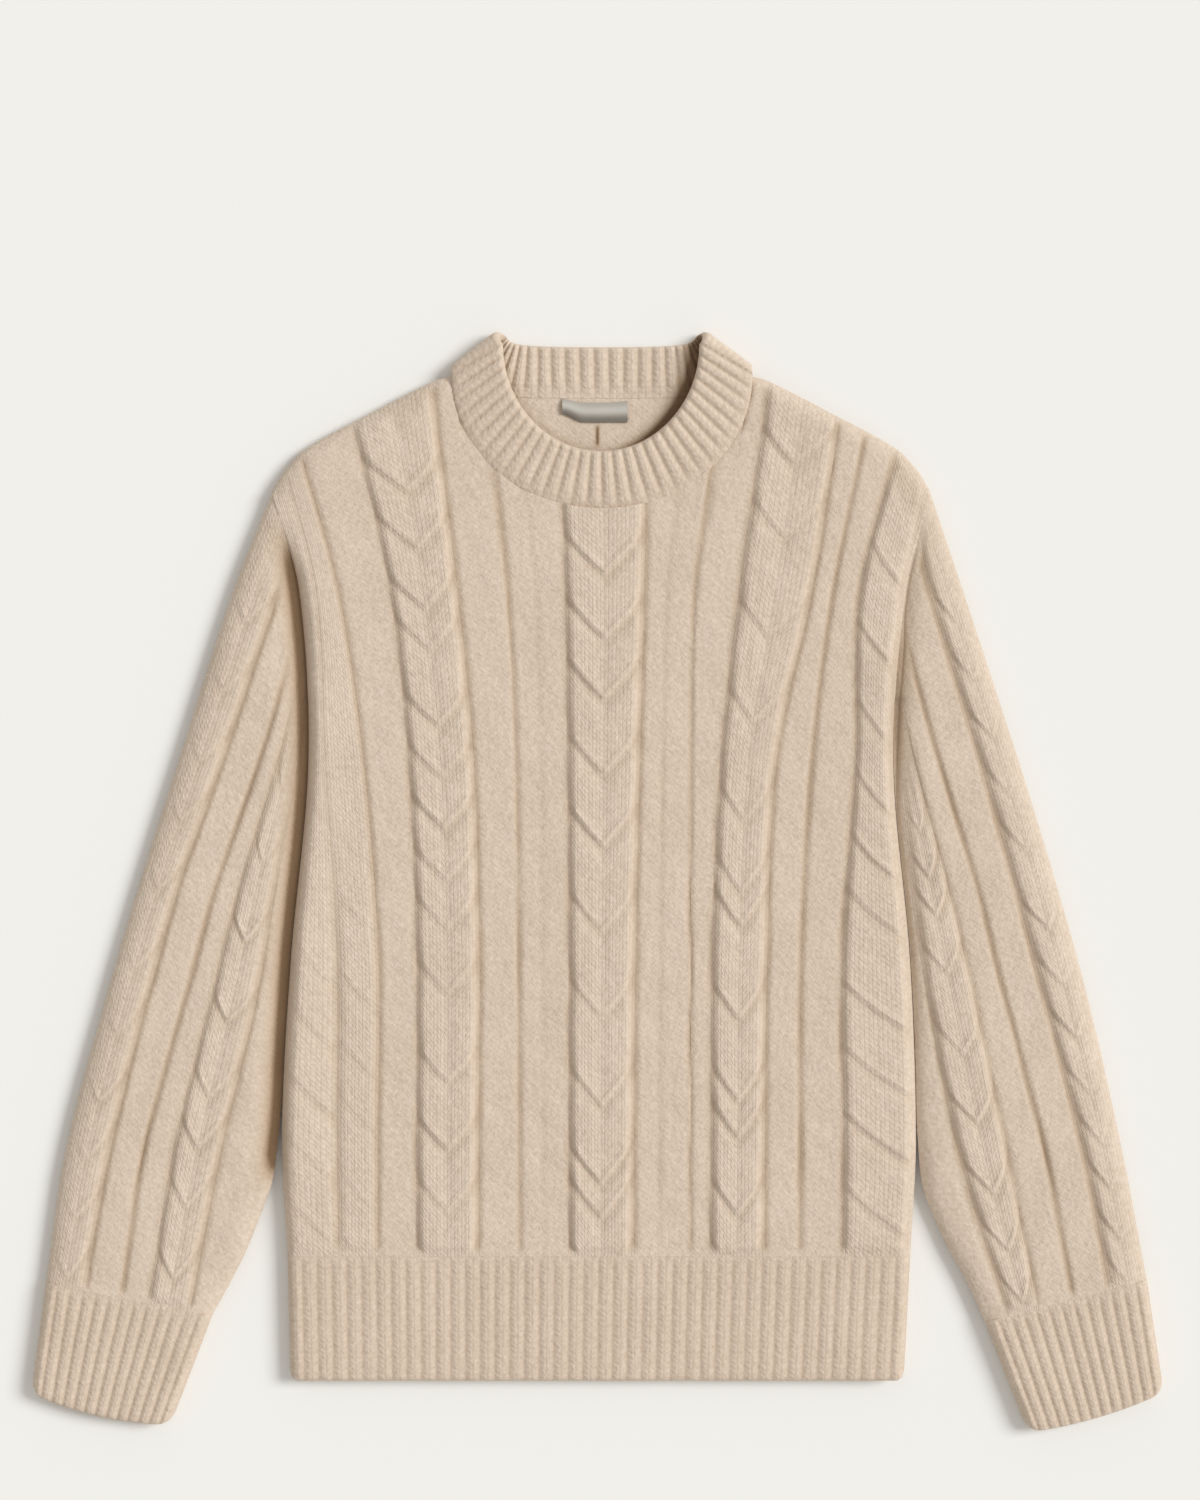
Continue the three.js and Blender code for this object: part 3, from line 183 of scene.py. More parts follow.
# Sleeves: X at the stations, share along the armhole from the shoulder tip, and share
# along the cuff seam from its outer end
SLEEVE_STATIONS = [-180, -78, 0, 85, 200]
SLEEVES = {
    "sleeve_left": {
        "side": -1,
        "valley": 1.45,
        "seam": ((-375.5, -270.5), (-262.0, -292.5)),
        "outer": ([-362, -335, -312, -285, -248], 0, 0),
        "ridge_a": ([-331, -306, -284, -254.5, -217], 0.28, 0.24),
        "ridge_b": ([-308, -280.5, -259, -229.5, -205], 0.6, 0.46),
        "cable_a": ([-289, -264, -244.5, -218, -204], 0.75, 0.61),
        "cable_b": ([-255.5, -231.5, -218.5, -202.5, -203], 0.93, 0.87),
        "leaves": [(-292.5, 51), (-268, 37.5), (-241, 24), (-207, 9), (-190, 4.5), (-160, 1), (-130, 0)],
    },
    "sleeve_right": {
        "side": 1,
        "valley": 1.5,
        "seam": ((374.0, -268.5), (263.5, -297.0)),
        "outer": ([357, 334, 312.5, 286.5, 249], 0, 0),
        "ridge_a": ([329.5, 303.5, 283, 259.5, 225.5], 0.2, 0.24),
        "ridge_b": ([303.5, 277, 257.5, 231.5, 214], 0.64, 0.46),
        "cable_a": ([279, 258, 239.5, 216, 211], 0.85, 0.66),
        "cable_b": ([244.5, 224, 212.5, 203.5, 210], 0.95, 0.86),
        "leaves": [(-297, 50), (-268, 37), (-241, 22), (-207, 6), (-175, 1), (-145, 0)],
    },
}
SLEEVE_CLEAR_OF_BODY = 0.15
# Distance straight out from a sleeve's slanting outer edge, per mm measured along X
OUTER_SLANT = 0.95
OUTER_FADE = 20.0
# Stations this near the armhole are left out, and lines bend to both seams over this length
STATION_CLEAR = 12.0
SEAM_BEND = 60.0
# The inside stops this share short of the armhole's ends, and of the cuff seam's per mm of wall
ARMHOLE_MARGIN = 0.075
CUFF_SEAM_MARGIN = 0.0075

# Cuffs: their sleeve, the two ends of the open edge, and how far it bows out
CUFFS = {
    "cuff_left": ("sleeve_left", (-385.5, -346.0), (-290.5, -367.0), 5),
    "cuff_right": ("sleeve_right", (385.5, -345.0), (293.0, -372.0), 4),
}
CUFF_LENGTH = 78.0
CUFF_SEAM_WIDE = 116.0
CUFF_OPEN_WIDE = 97.0
CUFF_CORNER = 9.0
CUFF_RIBS = 13
HEM_RIBS = 42
BAND_FRONT_RIBS = 30
BAND_BACK_RIBS = 21

# Neckband
BAND_GAP = -0.5
BAND_HALF = 2.7
BAND_RIB = 1.6
BAND_SEAM_HEIGHT = MIDDLE + SEAM_GAP / 2 + RISE - WALL / 2
BAND_FREE_LIFT = 2.0
BAND_SIDE_LIFT = 2.5
BAND_FREE_X = 2.5
BAND_FREE_Y = 367.0
BAND_FREE_SIDE = 66.6
BAND_FREE_DEPTH = 72.0
BAND_BACK_Y = 366.5
BAND_CORNER_X = 64.0
BAND_CORNER_RISE = 6.0
BAND_WIDE = 32.0
# Where the rounded tip starts and how long it is, as shares of the band's width
BAND_TIP = (0.9, 0.1)

# The shade that the band throws on the back's inside: how dark and how far, left and right
NECK_SHADE = {"dark": (0.7, 2.8), "reach": (2.6, 8.0), "turns_right_by": 55.0}

# The short dark mark under the label
MARK = {"x": 0.0, "bottom": 297.0, "top": 315.0, "soft": 4.0, "half_width": 1.7, "dark": 2.0}

# The label bulges, sags at the top, and its left end turns up
LABEL = {
    "left": -24.0, "right": 20.5, "top": 329.5, "bottom": 315.0, "thickness": 0.8,
    "bulge": 1.4, "lift": 0.5, "sag": 1.2, "end": 15.0, "end_bottom": 5.5, "end_top": 1.6,
}

# Fineness of the meshes: steps across the front and the sleeves, and points along them
FRONT_STEP = 1.604
FRONT_ROWS = 318
SLEEVE_STEP = 1.25
SLEEVE_ROWS = 380
INSIDE_ROWS = 60
# The lanes that fan out round the neck's two corners take more steps
CORNER_SLICES = {"neck_left": 18, "ground_right": 18}
# Lines that end this near a corner, in shares of the neckline, keep this far outside it
CORNER_KEYS = 0.3
CORNER_CLEAR = 0.6

# Colours, linear
WOOL_LIGHT = (0.755, 0.634, 0.523, 1)
WOOL_MID = (0.634, 0.517, 0.412, 1)
# Painted shade: the first darkens stitch gaps, grooves, crossings and rib valleys, the second is the deep
# brown painted in creases
WOOL_SHADE = (0.385, 0.25, 0.14, 1)
CREASE_SHADE = (0.17, 0.092, 0.038, 1)
WOOL_SHEEN = (1.0, 0.93, 0.84, 1)
# The label: a painted highlight, its own colour, and a dark for painted shade and for the weave's threads
SATIN_HIGHLIGHT = (0.57, 0.545, 0.5, 1)
SATIN_MID = (0.44, 0.4, 0.345, 1)
SATIN_WEAVE_AND_SHADE = (0.2, 0.175, 0.15, 1)
FLOOR_COLOUR = (0.885, 0.88, 0.86, 1)
FLOOR_HALF = 3.0
SKY_COLOUR = (1.0, 0.975, 0.93, 1)
SKY_STRENGTH = 0.55
SUN_COLOUR = (1.0, 1.01, 1.01)
SUN_STRENGTH = 2.3
SUN_ANGLE = math.radians(26)
SUN_TOWARDS = Vector((-1.0, -0.28, -0.8))

# Where the drawing lies in the row frame
back_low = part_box("back_panel")[0]
SHIFT = np.array([back_low.x / MM + 221.5, back_low.y / MM - HEM_SEAM_Y, 0.0])

# Camera: straight down, the whole picture 816 mm by 1020 mm at the cloth's height
PICTURE_TALL = 1020.0
CAMERA_HEIGHT = 2400.0
CLOTH_HEIGHT = 10.0
PICTURE_CENTRE = (1.7, 91.8)
SENSOR = 36.0


# Small helpers

def mix(a, b, share):
    return a + (b - a) * share


def ease(start, end, value):
    t = np.clip((value - start) / (end - start), 0, 1)
    return t * t * (3 - 2 * t)


def round_over(distance, width):
    t = np.clip(distance / width, 0, 1)
    return np.sqrt(np.maximum(0, 1 - (1 - t) ** 2))


def curve_through(pairs):
    places = np.array([p[0] for p in pairs], float)
    values = np.array([p[1] for p in pairs], float)
    before = np.maximum(np.arange(len(pairs)) - 1, 0)
    after = np.minimum(np.arange(len(pairs)) + 1, len(pairs) - 1)
    slopes = (values[after] - values[before]) / (places[after] - places[before])

    def at(place):
        here = np.clip(np.asarray(place, float), places[0], places[-1])
        i = np.clip(np.searchsorted(places, here, side="left") - 1, 0, len(places) - 2)
        span = places[i + 1] - places[i]
        t = (here - places[i]) / span
        t2, t3 = t * t, t * t * t
        return (
            (2 * t3 - 3 * t2 + 1) * values[i]
            + (t3 - 2 * t2 + t) * span * slopes[i]
            + (3 * t2 - 2 * t3) * values[i + 1]
            + (t3 - t2) * span * slopes[i + 1]
        )

    return at


def wander(x, y, size, seed):
    """Smooth unevenness between about -1 and 1, over lengths near size."""
    rng = np.random.default_rng(seed)
    total = 0
    for _ in range(7):
        angle = rng.uniform(0, 2 * math.pi)
        length = size * rng.uniform(0.7, 1.6)
        phase = rng.uniform(0, 2 * math.pi)
        total = total + np.sin(2 * math.pi * (x * math.cos(angle) + y * math.sin(angle)) / length + phase)
    return total / 3.5


def unevenness(x, y, long, short, seed):
    return 0.5 * wander(x, y, long, seed) + 0.25 * wander(x, y, short, seed + 1)


def placed(name, data):
    made = bpy.data.objects.new(name, data)
    bpy.context.scene.collection.objects.link(made)
    return made


# Closed shells made of fine grids and of strips between lines of points

class Shell:
    def __init__(self):
        self.points = []
        self.knit = []
        self.lay = []
        self.faces = []
        self.count = 0

    def grid(self, xyz, knit, lay):
        columns, rows = xyz.shape[:2]
        number = columns * rows
        self.points.append(xyz.reshape(-1, 3))
        self.knit.append(knit.reshape(-1, 2))
        self.lay.append(lay.reshape(-1, 2))
        ids = np.arange(self.count, self.count + number).reshape(columns, rows)
        self.count += number
        return ids

    def fill(self, ids, up=True):
        a, b, c, d = ids[:-1, :-1], ids[1:, :-1], ids[1:, 1:], ids[:-1, 1:]
        quad = [a, b, c, d] if up else [a, d, c, b]
        self.faces.extend(np.stack([q.ravel() for q in quad], 1).tolist())

    def strip(self, first, second):
        place = np.concatenate(self.points)
        p, q = place[first], place[second]
        i = j = 0
        while i < len(first) - 1 or j < len(second) - 1:
            step_first = j == len(second) - 1
            if not step_first and i < len(first) - 1:
                step_first = ((p[i + 1] - q[j]) ** 2).sum() < ((p[i] - q[j + 1]) ** 2).sum()
            third = first[i + 1] if step_first else second[j + 1]
            self.faces.append([int(first[i]), int(second[j]), int(third)])
            i, j = (i + 1, j) if step_first else (i, j + 1)

    def object(self, name, material, node, slot):
        place = (np.concatenate(self.points) + SHIFT) * MM
        mesh = bpy.data.meshes.new(name)
        mesh.from_pydata(place.tolist(), [], self.faces)
        corner = np.zeros(len(mesh.loops), np.int32)
        mesh.loops.foreach_get("vertex_index", corner)
        for title, values in (("knit", self.knit), ("lay", self.lay)):
            layer = mesh.uv_layers.new(name=title)
            layer.data.foreach_set("uv", np.concatenate(values)[corner].astype(np.float32).ravel())
        mesh.polygons.foreach_set("use_smooth", np.ones(len(mesh.polygons), bool))
        mesh.materials.append(material)
        mesh.update()
        mesh.set_sharp_from_angle(angle=SHARP_EDGE)
        made = placed(name, mesh)
        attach(made, "root")
        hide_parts(node)
        return made


def gathered(columns):
    """A grid's points, knit and lay, from columns of x, y, z, wale, course, purl share and unshaded share,
    which painted shade lowers.
    """
    table = np.array([np.stack(np.broadcast_arrays(*column), 1) for column in columns])
    return table[..., :3], table[..., 3:5], table[..., 5:]


def panel(upper, lower):
    """A shell from an upper and a lower grid, each (points, knit, lay)."""
    shell = Shell()
    top = shell.grid(*upper)
    bottom = shell.grid(*lower)
    shell.fill(top)
    shell.fill(bottom, up=False)
    shell.strip(top[:, 0], bottom[:, 0])
    shell.strip(top[-1], bottom[-1])
    shell.strip(top[::-1, -1], bottom[::-1, -1])
    shell.strip(top[0][::-1], bottom[0][::-1])
    return shell


def tube(outer_top, outer_bottom, inner_top, inner_bottom):
    """A flattened tube whose upper and lower faces share their first and last lines."""
    shell = Shell()

    def build(upper, lower):
        top = shell.grid(*upper)
        between = shell.grid(*lower)
        return top, np.vstack([top[:1], between, top[-1:]])

    top, bottom = build(outer_top, outer_bottom)
    roof, floor = build(inner_top, inner_bottom)
    shell.fill(top)
    shell.fill(bottom, up=False)
    shell.fill(roof, up=False)
    shell.fill(floor)
    shell.strip(top[:, 0], roof[:, 0])
    shell.strip(floor[:, 0], bottom[:, 0])
    shell.strip(roof[:, -1], top[:, -1])
    shell.strip(bottom[:, -1], floor[:, -1])
    return shell


# Knitted relief

def strand_phase(crossings, fall, across, y):
    fallen = y + fall * across ** SWEEP_POWER
    heights = np.array(crossings, float)
    index = (heights[None, :] >= fallen[:, None]).sum(1)
    ends = heights[0] + PAST_LAST_CROSSING, heights[-1] - PAST_LAST_CROSSING
    padded = np.concatenate([ends[:1], heights, ends[1:]])
    above = padded[index]
    below = padded[index + 1]
    return above - fallen, fallen - below, firmness(above), firmness(below)


def firmness(crossing):
    """Some crossings pull in deeper than others, between 0.56 and 1."""
    return 0.78 + 0.22 * np.sin(1.7 * crossing)


def strand_height(past, left, firm_above, firm_below):
    """A strand rises out of the valley under the one above, and ends in a crest."""
    dive = 1 - (1 - VALLEY) * firm_above * (1 - ease(0, STRAND_RISE, past))
    tuck = 1 - (1 - VALLEY) * firm_below * (1 - ease(0, STROKE_WIDTH, left))
    return dive * tuck + CREST * firm_below * np.exp(-(((left - STROKE_WIDTH) / CREST_HALF) ** 2))


def scallop(past, left):
    """How far a strand's outer edge pulls in near its two ends."""
    return SCALLOP * (1 - np.sin(math.pi * np.clip(past / (past + left), 0, 1)) ** 0.7)


def relief(lane, share, y, width):
    """Height over the plain face, and how unshaded it is: 1 on the face, less where painted shade darkens
    the grooves, crossings and border valleys.
    """
    knit, rule, fall = lane[2:5]
    strong, line = 1.0, 0.0
    if len(lane) > 5:
        most, fades_at, line = lane[5:]
        strong = most * (1 - ease(fades_at - ROPE_FADE, fades_at + ROPE_FADE, y))
    strength = strong * np.minimum(1, width / FULL_RELIEF_WIDTH)
    if knit == "ground":
        groove = 0 * y
        for number, (at, deep) in enumerate(rule):
            uneven = deep * (0.75 + 0.25 * wander(y, 0 * y + 40 * number, 90, 3))
            groove = groove + uneven * np.exp(-(((share - at) * width / GROOVE_HALF) ** 2))
        # Painted shade along the grooves
        shade_paint = np.minimum(GROOVE_SHADE * groove, np.maximum(groove, GROOVE_SHADE_MOST))
        return -GROOVE_DEPTH * groove, 1 - shade_paint
    crossings = CROSSINGS[rule]
    if knit == "rope":
        phase = strand_phase(crossings, fall, share, y)
        from_border = share * width
        border = ease(0, BORDER, from_border) * ease(0, BORDER, width - from_border - scallop(*phase[:2]))
        grown = border * strand_height(*phase)
        raised = (ROPE_HEIGHT + GROOVE_DEPTH) * strength * grown - GROOVE_DEPTH * strong
        groove = line * (1 - strong) * np.exp(-(((width - from_border) / GROOVE_HALF) ** 2))
        # Painted shade in the crossings, and in the groove left where a rope ends
        unshaded = mix(1, np.minimum(1, mix(STROKE_SHADE, 1, grown)), strong)
        return raised - GROOVE_DEPTH * groove, unshaded - groove
    across = 2 * share if share < 0.5 else 2 - 2 * share
    phase = strand_phase(crossings, fall, across, y)
    border = ease(-0.5, BORDER, across * width / 2 - scallop(*phase[:2]))
    lobe = border * (1 - 0.15 * float(ease(0.7, 1, across)))
    grown = lobe * strand_height(*phase)
    raised = (CABLE_HEIGHT + GROOVE_DEPTH) * strength * grown - GROOVE_DEPTH
    # The border's valley gets more painted shade than the crossings
    shade_paint = mix(BORDER_SHADE, 1, border) * mix(STROKE_SHADE, 1, grown / np.maximum(lobe, 0.01))
    return raised, np.minimum(1, shade_paint)


def knit_place(lane, share, y, wales):
    """Where a point lies in the knitting: wales across and courses up."""
    knit, _, fall = lane[2:5]
    across = share
    if knit == "cable":
        across = 2 * share if share < 0.5 else 2 - 2 * share
    drop = fall * across ** SWEEP_POWER if knit != "ground" else 0
    return wales, (y + drop) / COURSE


def knitted_grid(lanes, edge, measured_at, line, surface, step, rows):
    """Points over lanes of knitting side by side, their places in the knitting, and their lay."""
    columns = []
    wales = carried = 0.0
    for index, lane in enumerate(lanes):
        a, b = edge(lane[0]), edge(lane[1])
        wide = abs(float(b(measured_at) - a(measured_at)))
        slices = max(4, round(wide / step), CORNER_SLICES.get(lane[0], 0))
        for number in range(0 if index == 0 else 1, slices + 1):
            share = number / slices
            x_at, top, bottom = line(lane[0], lane[1], share)
            y = np.linspace(bottom, top, rows)
            x = x_at(y)
            z, unshaded = surface(x, y, lane, share, np.abs(b(y) - a(y)))
            place = knit_place(lane, share, y + carried, wales + share * round(wide / WALE))
            columns.append((x, y, z, *place, lane[2] == "ground", unshaded))
        wales += round(wide / WALE)
        # A rope ends lower than it starts, and the courses beyond it go on from there
        carried += lane[4] if lane[2] == "rope" else 0
    return gathered(columns)


# Body

shoulder_y_at = curve_through([
    (80, NECK_MIDDLE_Y), (102, NECK_MIDDLE_Y), (114, 342.8), (153, 323),
    (202, 296), (216, 281), (224, SHOULDER_TIP_Y),
])


def shoulder_y(x):
    return shoulder_y_at(np.abs(x - SHOULDER_MIDDLE_X))


def front_neck_y(x):
    share = np.clip(abs(x - NECK_X) / NECK_SIDE, 0, 1)
    return NECK_MIDDLE_Y - FRONT_NECK_DEPTH * math.sqrt(1 - share * share)


def back_neck_y(x):
    share = np.clip(abs(x - NECK_X) / NECK_SIDE, 0, 1)
    return NECK_MIDDLE_Y - BACK_NECK_DEPTH * math.sqrt(1 - share ** 4)


TIP_LEFT = BODY_LINES["side_left"][1]
TIP_RIGHT = BODY_LINES["side_right"][1]


def top_key(x):
    share = (x - NECK_X) / NECK_SIDE
    if share <= -1:
        return (x - TIP_LEFT) / (NECK_X - NECK_SIDE - TIP_LEFT)
    if share >= 1:
        return 2 + (x - NECK_X - NECK_SIDE) / (TIP_RIGHT - NECK_X - NECK_SIDE)
    return 1.5 + math.asin(share) / math.pi


def top_point(key, neck_y):
    if key <= 1:
        x = mix(TIP_LEFT, NECK_X - NECK_SIDE, key)
        return x, float(shoulder_y(x))
    if key >= 2:
        x = mix(NECK_X + NECK_SIDE, TIP_RIGHT, key - 2)
        return x, float(shoulder_y(x))
    x = NECK_X + NECK_SIDE * math.sin(math.pi * (key - 1.5))
    return x, neck_y(x)


def keep_in_order(x_at, top_y, key):
    """The lines that end near the neck's corners stay outside the neckline, side by side."""
    side = -1 if key < 1.5 else 1
    from_corner = abs(key - 1.5 - side * 0.5) / CORNER_KEYS
    if from_corner > 1 or not 0.999 < key < 2.001:
        return x_at

    def kept(y):
        share = np.clip((NECK_MIDDLE_Y - y) / FRONT_NECK_DEPTH, 0, 1)
        clear = CORNER_CLEAR * (1 - from_corner) * ease(0, 6, top_y - y)
        least = NECK_SIDE * np.sqrt(1 - share * share) + clear
        out = side * (x_at(y) - NECK_X)
        if from_corner > 0.001:
            name = "neck_left" if side < 0 else "neck_right"
            corner_x = body_line(name, name, 0)[0]
            out = np.minimum(out, side * (corner_x(y) - NECK_X) - CORNER_CLEAR * from_corner)
        return NECK_X + side * np.maximum(out, least)

    return kept


def body_line(start, end, share, neck_y=front_neck_y):
    a, b = BODY_LINES[start], BODY_LINES[end]
    key = mix(top_key(a[1]), top_key(b[1]), share)
    top_x, top_y = top_point(key, neck_y)
    pairs = [(y, mix(a[0][i], b[0][i], share)) for i, y in enumerate(BODY_STATIONS)]
    x_at = curve_through(pairs + [(top_y, top_x)])
    if neck_y is not front_neck_y:
        return x_at, top_y, key
    return keep_in_order(x_at, top_y, key), top_y, key


left_edge = body_line("side_left", "side_left", 0)[0]
right_edge = body_line("side_right", "side_right", 0)[0]


def side_stand(y, side):
    """How high the cloth stands at the body's side: 0 where it rolls under."""
    return round_over(y - UNDERARM_Y, SIDE_ROUND) * mix(CREASES[side]["low"], 1, ease(205, 250, y))


def crease_along(y, side):
    """How deep the crease between the body and a sleeve is along its length, 0 to 1."""
    deep = ease(*CREASES[side]["starts"], y) * (1 - ease(*CREASES[side]["ends"], y))
    if side < 0:
        return deep
    # The right one is shallow low down, deep beside the chest and soft near the shoulder
    return deep * mix(0.3, 1, ease(40, 110, y)) * (1 - 0.7 * ease(155, 190, y))


def back_stand(y, side):
    return round_over(y - UNDERARM_Y, UNDER_ROUND)


def side_inset(y):
    return WALL * (1 - ease(UNDERARM_Y, UNDERARM_Y + 24, y))


def from_shoulder(x, y):
    reach = 4.0
    slope = (shoulder_y(x + reach) - shoulder_y(x - reach)) / (2 * reach)
    return (shoulder_y(x) - y) / np.hypot(1, slope)


def from_sides(x, y):
    return x - left_edge(y), right_edge(y) - x


def body_share(x, y, inset, side_round, shoulder_round, stand):
    side = np.minimum(*from_sides(x, y)) - np.minimum(inset, side_inset(y))
    shoulder = from_shoulder(x, y) - inset
    low = np.where(x < 0, stand(y, -1), stand(y, 1))
    return round_over(shoulder, shoulder_round) * (low + (1 - low) * round_over(side, side_round))


def front_inner(x, y):
    return UPPER + INSIDE_RISE * body_share(x, y, WALL, SIDE_ROUND - WALL, SHOULDER_ROUND - WALL, side_stand)


def back_inner(x, y):
    round_in = SHOULDER_ROUND - WALL
    return LOWER - INSIDE_RISE * body_share(x, y, WALL, round_in, round_in, back_stand)


def back_outer(x, y):
    return LOWER - RISE * body_share(x, y, 0, UNDER_ROUND, UNDER_ROUND, back_stand)


def front_outer(x, y, lane, share, width):
    full = body_share(x, y, 0, SIDE_ROUND, SHOULDER_ROUND, side_stand)
    sides = from_sides(x, y)
    edge = np.minimum(np.minimum(*sides), from_shoulder(x, y))
    raised, unshaded = relief(lane, share, y, width)
    inside = ease(0, PLAIN_RIM, edge) * ease(0, PLAIN_SEAM, y - HEM_SEAM_Y)
    unshaded = mix(1, unshaded, inside)
    soft = unevenness(x, y, 70, 23, 5)
    for side, from_side in zip((-1, 1), sides):
        crease = crease_along(y, side)
        puffed = ease(0, PUFF_TOP, from_side) * (1 - ease(PUFF_TOP, PUFF_END, from_side))
        soft = soft + CREASES[side]["puff"] * crease * puffed
        # Painted shade on the body's rim beside each crease
        unshaded = unshaded - CREASES[side]["rim"] * crease * (1 - ease(*RIM_SHADE, from_side))
    return UPPER + RISE * full + (raised + soft) * inside, unshaded


def neck_shade(x, y):
    """Shade on the back's inside, along the front band's free edge, deep on the right."""
    across = (x - BAND_FREE_X) / BAND_FREE_SIDE
    down = (BAND_FREE_Y - y) / BAND_FREE_DEPTH
    inside = np.maximum(0, 1 - np.hypot(across, down)) * BAND_FREE_SIDE
    right = ease(0, NECK_SHADE["turns_right_by"], x)
    reach = mix(*NECK_SHADE["reach"], right)
    return mix(*NECK_SHADE["dark"], right) * np.exp(-((inside / reach) ** 2))


def back_mark(x, y):
    low, high, soft = MARK["bottom"], MARK["top"], MARK["soft"]
    along = ease(low, low + soft, y) * (1 - ease(high - soft, high, y))
    return MARK["dark"] * along * np.exp(-(((x - MARK["x"]) / MARK["half_width"]) ** 2))


def front_line(start, end, share):
    x_at, top, _ = body_line(start, end, share)
    return x_at, top, HEM_SEAM_Y


def front_top_grid():
    lanes = [(start, end, *BODY_LINES[start][2]) for start, end in zip(LINE_NAMES, LINE_NAMES[1:])]
    return knitted_grid(
        lanes, lambda name: body_line(name, name, 0)[0], 0.0,
        front_line, front_outer, FRONT_STEP, FRONT_ROWS,
    )


LINE_NAMES = list(BODY_LINES)
LINE_KEYS = [top_key(BODY_LINES[name][1]) for name in LINE_NAMES]


def line_at(key, neck_y):
    i = 0
    while i < len(LINE_NAMES) - 2 and key > LINE_KEYS[i + 1]:
        i += 1
    share = (key - LINE_KEYS[i]) / (LINE_KEYS[i + 1] - LINE_KEYS[i])
    x_at = body_line(LINE_NAMES[i], LINE_NAMES[i + 1], share, neck_y)[0]
    return x_at, top_point(key, neck_y)[1]


def plain_grid(keys, rows, neck_y, height, inset, shade=lambda x, y: 0):
    columns = []
    for key in keys:
        x_at, top = line_at(key, neck_y)
        if key <= 1 or key >= 2:
            top -= inset * SHOULDER_SLANT
        y = np.linspace(HEM_SEAM_Y, top, rows)
        x = x_at(y)
        if key == 0:
            x = x + np.minimum(inset, side_inset(y))
        if key == 3:
            x = x - np.minimum(inset, side_inset(y))
        columns.append((x, y, height(x, y), x / WALE, y / COURSE, 1, 1 - shade(x, y)))
    return gathered(columns)


def keys_along_top(shoulder, neck):
    left = list(np.linspace(0, 1, shoulder + 1))
    middle = list(np.linspace(1, 2, neck + 1)[1:-1])
    return left + middle + [3 - key for key in reversed(left)]


def front_panel():
    keys = keys_along_top(10, 60)
    return panel(front_top_grid(), plain_grid(keys, INSIDE_ROWS, front_neck_y, front_inner, WALL))


def back_panel():
    mark_keys = [top_key(MARK["x"] + 0.7 * step) for step in range(-5, 6)]
    inside_keys = sorted(keys_along_top(10, 72) + mark_keys)
    inner = plain_grid(inside_keys, 320, back_neck_y, back_inner, WALL,
                       lambda x, y: neck_shade(x, y) + back_mark(x, y))
    edge = [0, 0.01, 0.03, 0.06, 0.1, 0.15]
    keys = edge + list(np.linspace(0.2, 1, 8))
    keys += list(np.linspace(1, 2, 73)[1:-1]) + [3 - key for key in reversed(keys)]
    under = plain_grid(keys, 160, back_neck_y, back_outer, 0)
    return panel(inner, under)


# Hem

hem_left = curve_through([(HEM_BOTTOM_Y, -209), (HEM_SEAM_Y, -211)])
hem_right = curve_through([(HEM_BOTTOM_Y, 208.5), (HEM_SEAM_Y, 213)])


def rib_ridge(phase):
    return np.abs(np.sin(math.pi * phase)) ** 1.15


def open_edge(distance):
    """How thin the cloth gets towards an open edge."""
    return 1 - 0.42 * (1 - round_over(distance, OPEN_EDGE))


def ribbed_face(middle, rise, rib, shade_paint, ridge, grown, soft, side, from_open):
    """Height of a ribbed face, plain at its seam and along its sides, and how unshaded it is: a little
    darker overall, with painted shade in the rib valleys.
    """
    ribs = rib * (ridge - RIB_MEAN) * ease(0, RIB_RIM, side) * grown
    full = rise * round_over(side, SIDE_ROUND) + soft * ease(0, PLAIN_RIM, side)
    return middle + (full + ribs) * open_edge(from_open), RIB_TONE * mix(1, ridge, shade_paint * grown)


def plain_face(middle, rise, width, inset=0.0):
    """Height of a plain face that rolls over along its sides, and its unshaded share of 1, with no painted
    shade.
    """
    return lambda x, y, share, side, *rest: (middle + rise * round_over(side - inset, width), 1.0)


def hem_grid(shares, rows, inset, height):
    columns = []
    for share in shares:
        corner = min(share, 1 - share) * HEM_WIDE
        bottom = HEM_BOTTOM_Y + HEM_CORNER * (1 - float(round_over(corner, HEM_CORNER)))
        y = mix(bottom, HEM_SEAM_Y - SEAM_SHOWN, rows)
        x = mix(hem_left(y) + inset, hem_right(y) - inset, share)
        side = np.minimum(x - hem_left(y), hem_right(y) - x)
        z, unshaded = height(x, y, share, side)
        columns.append((x, y, z, share * HEM_RIBS, y / COURSE, 0, unshaded))
    return gathered(columns)


def fine_rows(length):
    """Rows along a length, closer together near its start."""
    edge = OPEN_EDGE / length
    return np.concatenate([np.linspace(0, edge, 7)[:-1], np.linspace(edge, 1, round(length / 2.2))])


def hem_front():
    def outer(x, y, share, side):
        ridge = float(rib_ridge(share * HEM_RIBS))
        grown = ease(0, 7, HEM_SEAM_Y - y)
        soft = 0.35 * wander(x, y, 60, 11)
        return ribbed_face(UPPER, RISE, HEM_RIB, HEM_SHADE, ridge, grown, soft, side, y - HEM_BOTTOM_Y)

    inner = plain_face(UPPER, INSIDE_RISE, SIDE_ROUND - WALL, WALL)
    columns = np.linspace(0, 1, HEM_RIBS * 8 + 1)
    rows = fine_rows(HEM_SEAM_Y - HEM_BOTTOM_Y)
    return panel(
        hem_grid(columns, rows, 0, outer),
        hem_grid(columns[::4], np.linspace(0, 1, 5), WALL, inner),
    )


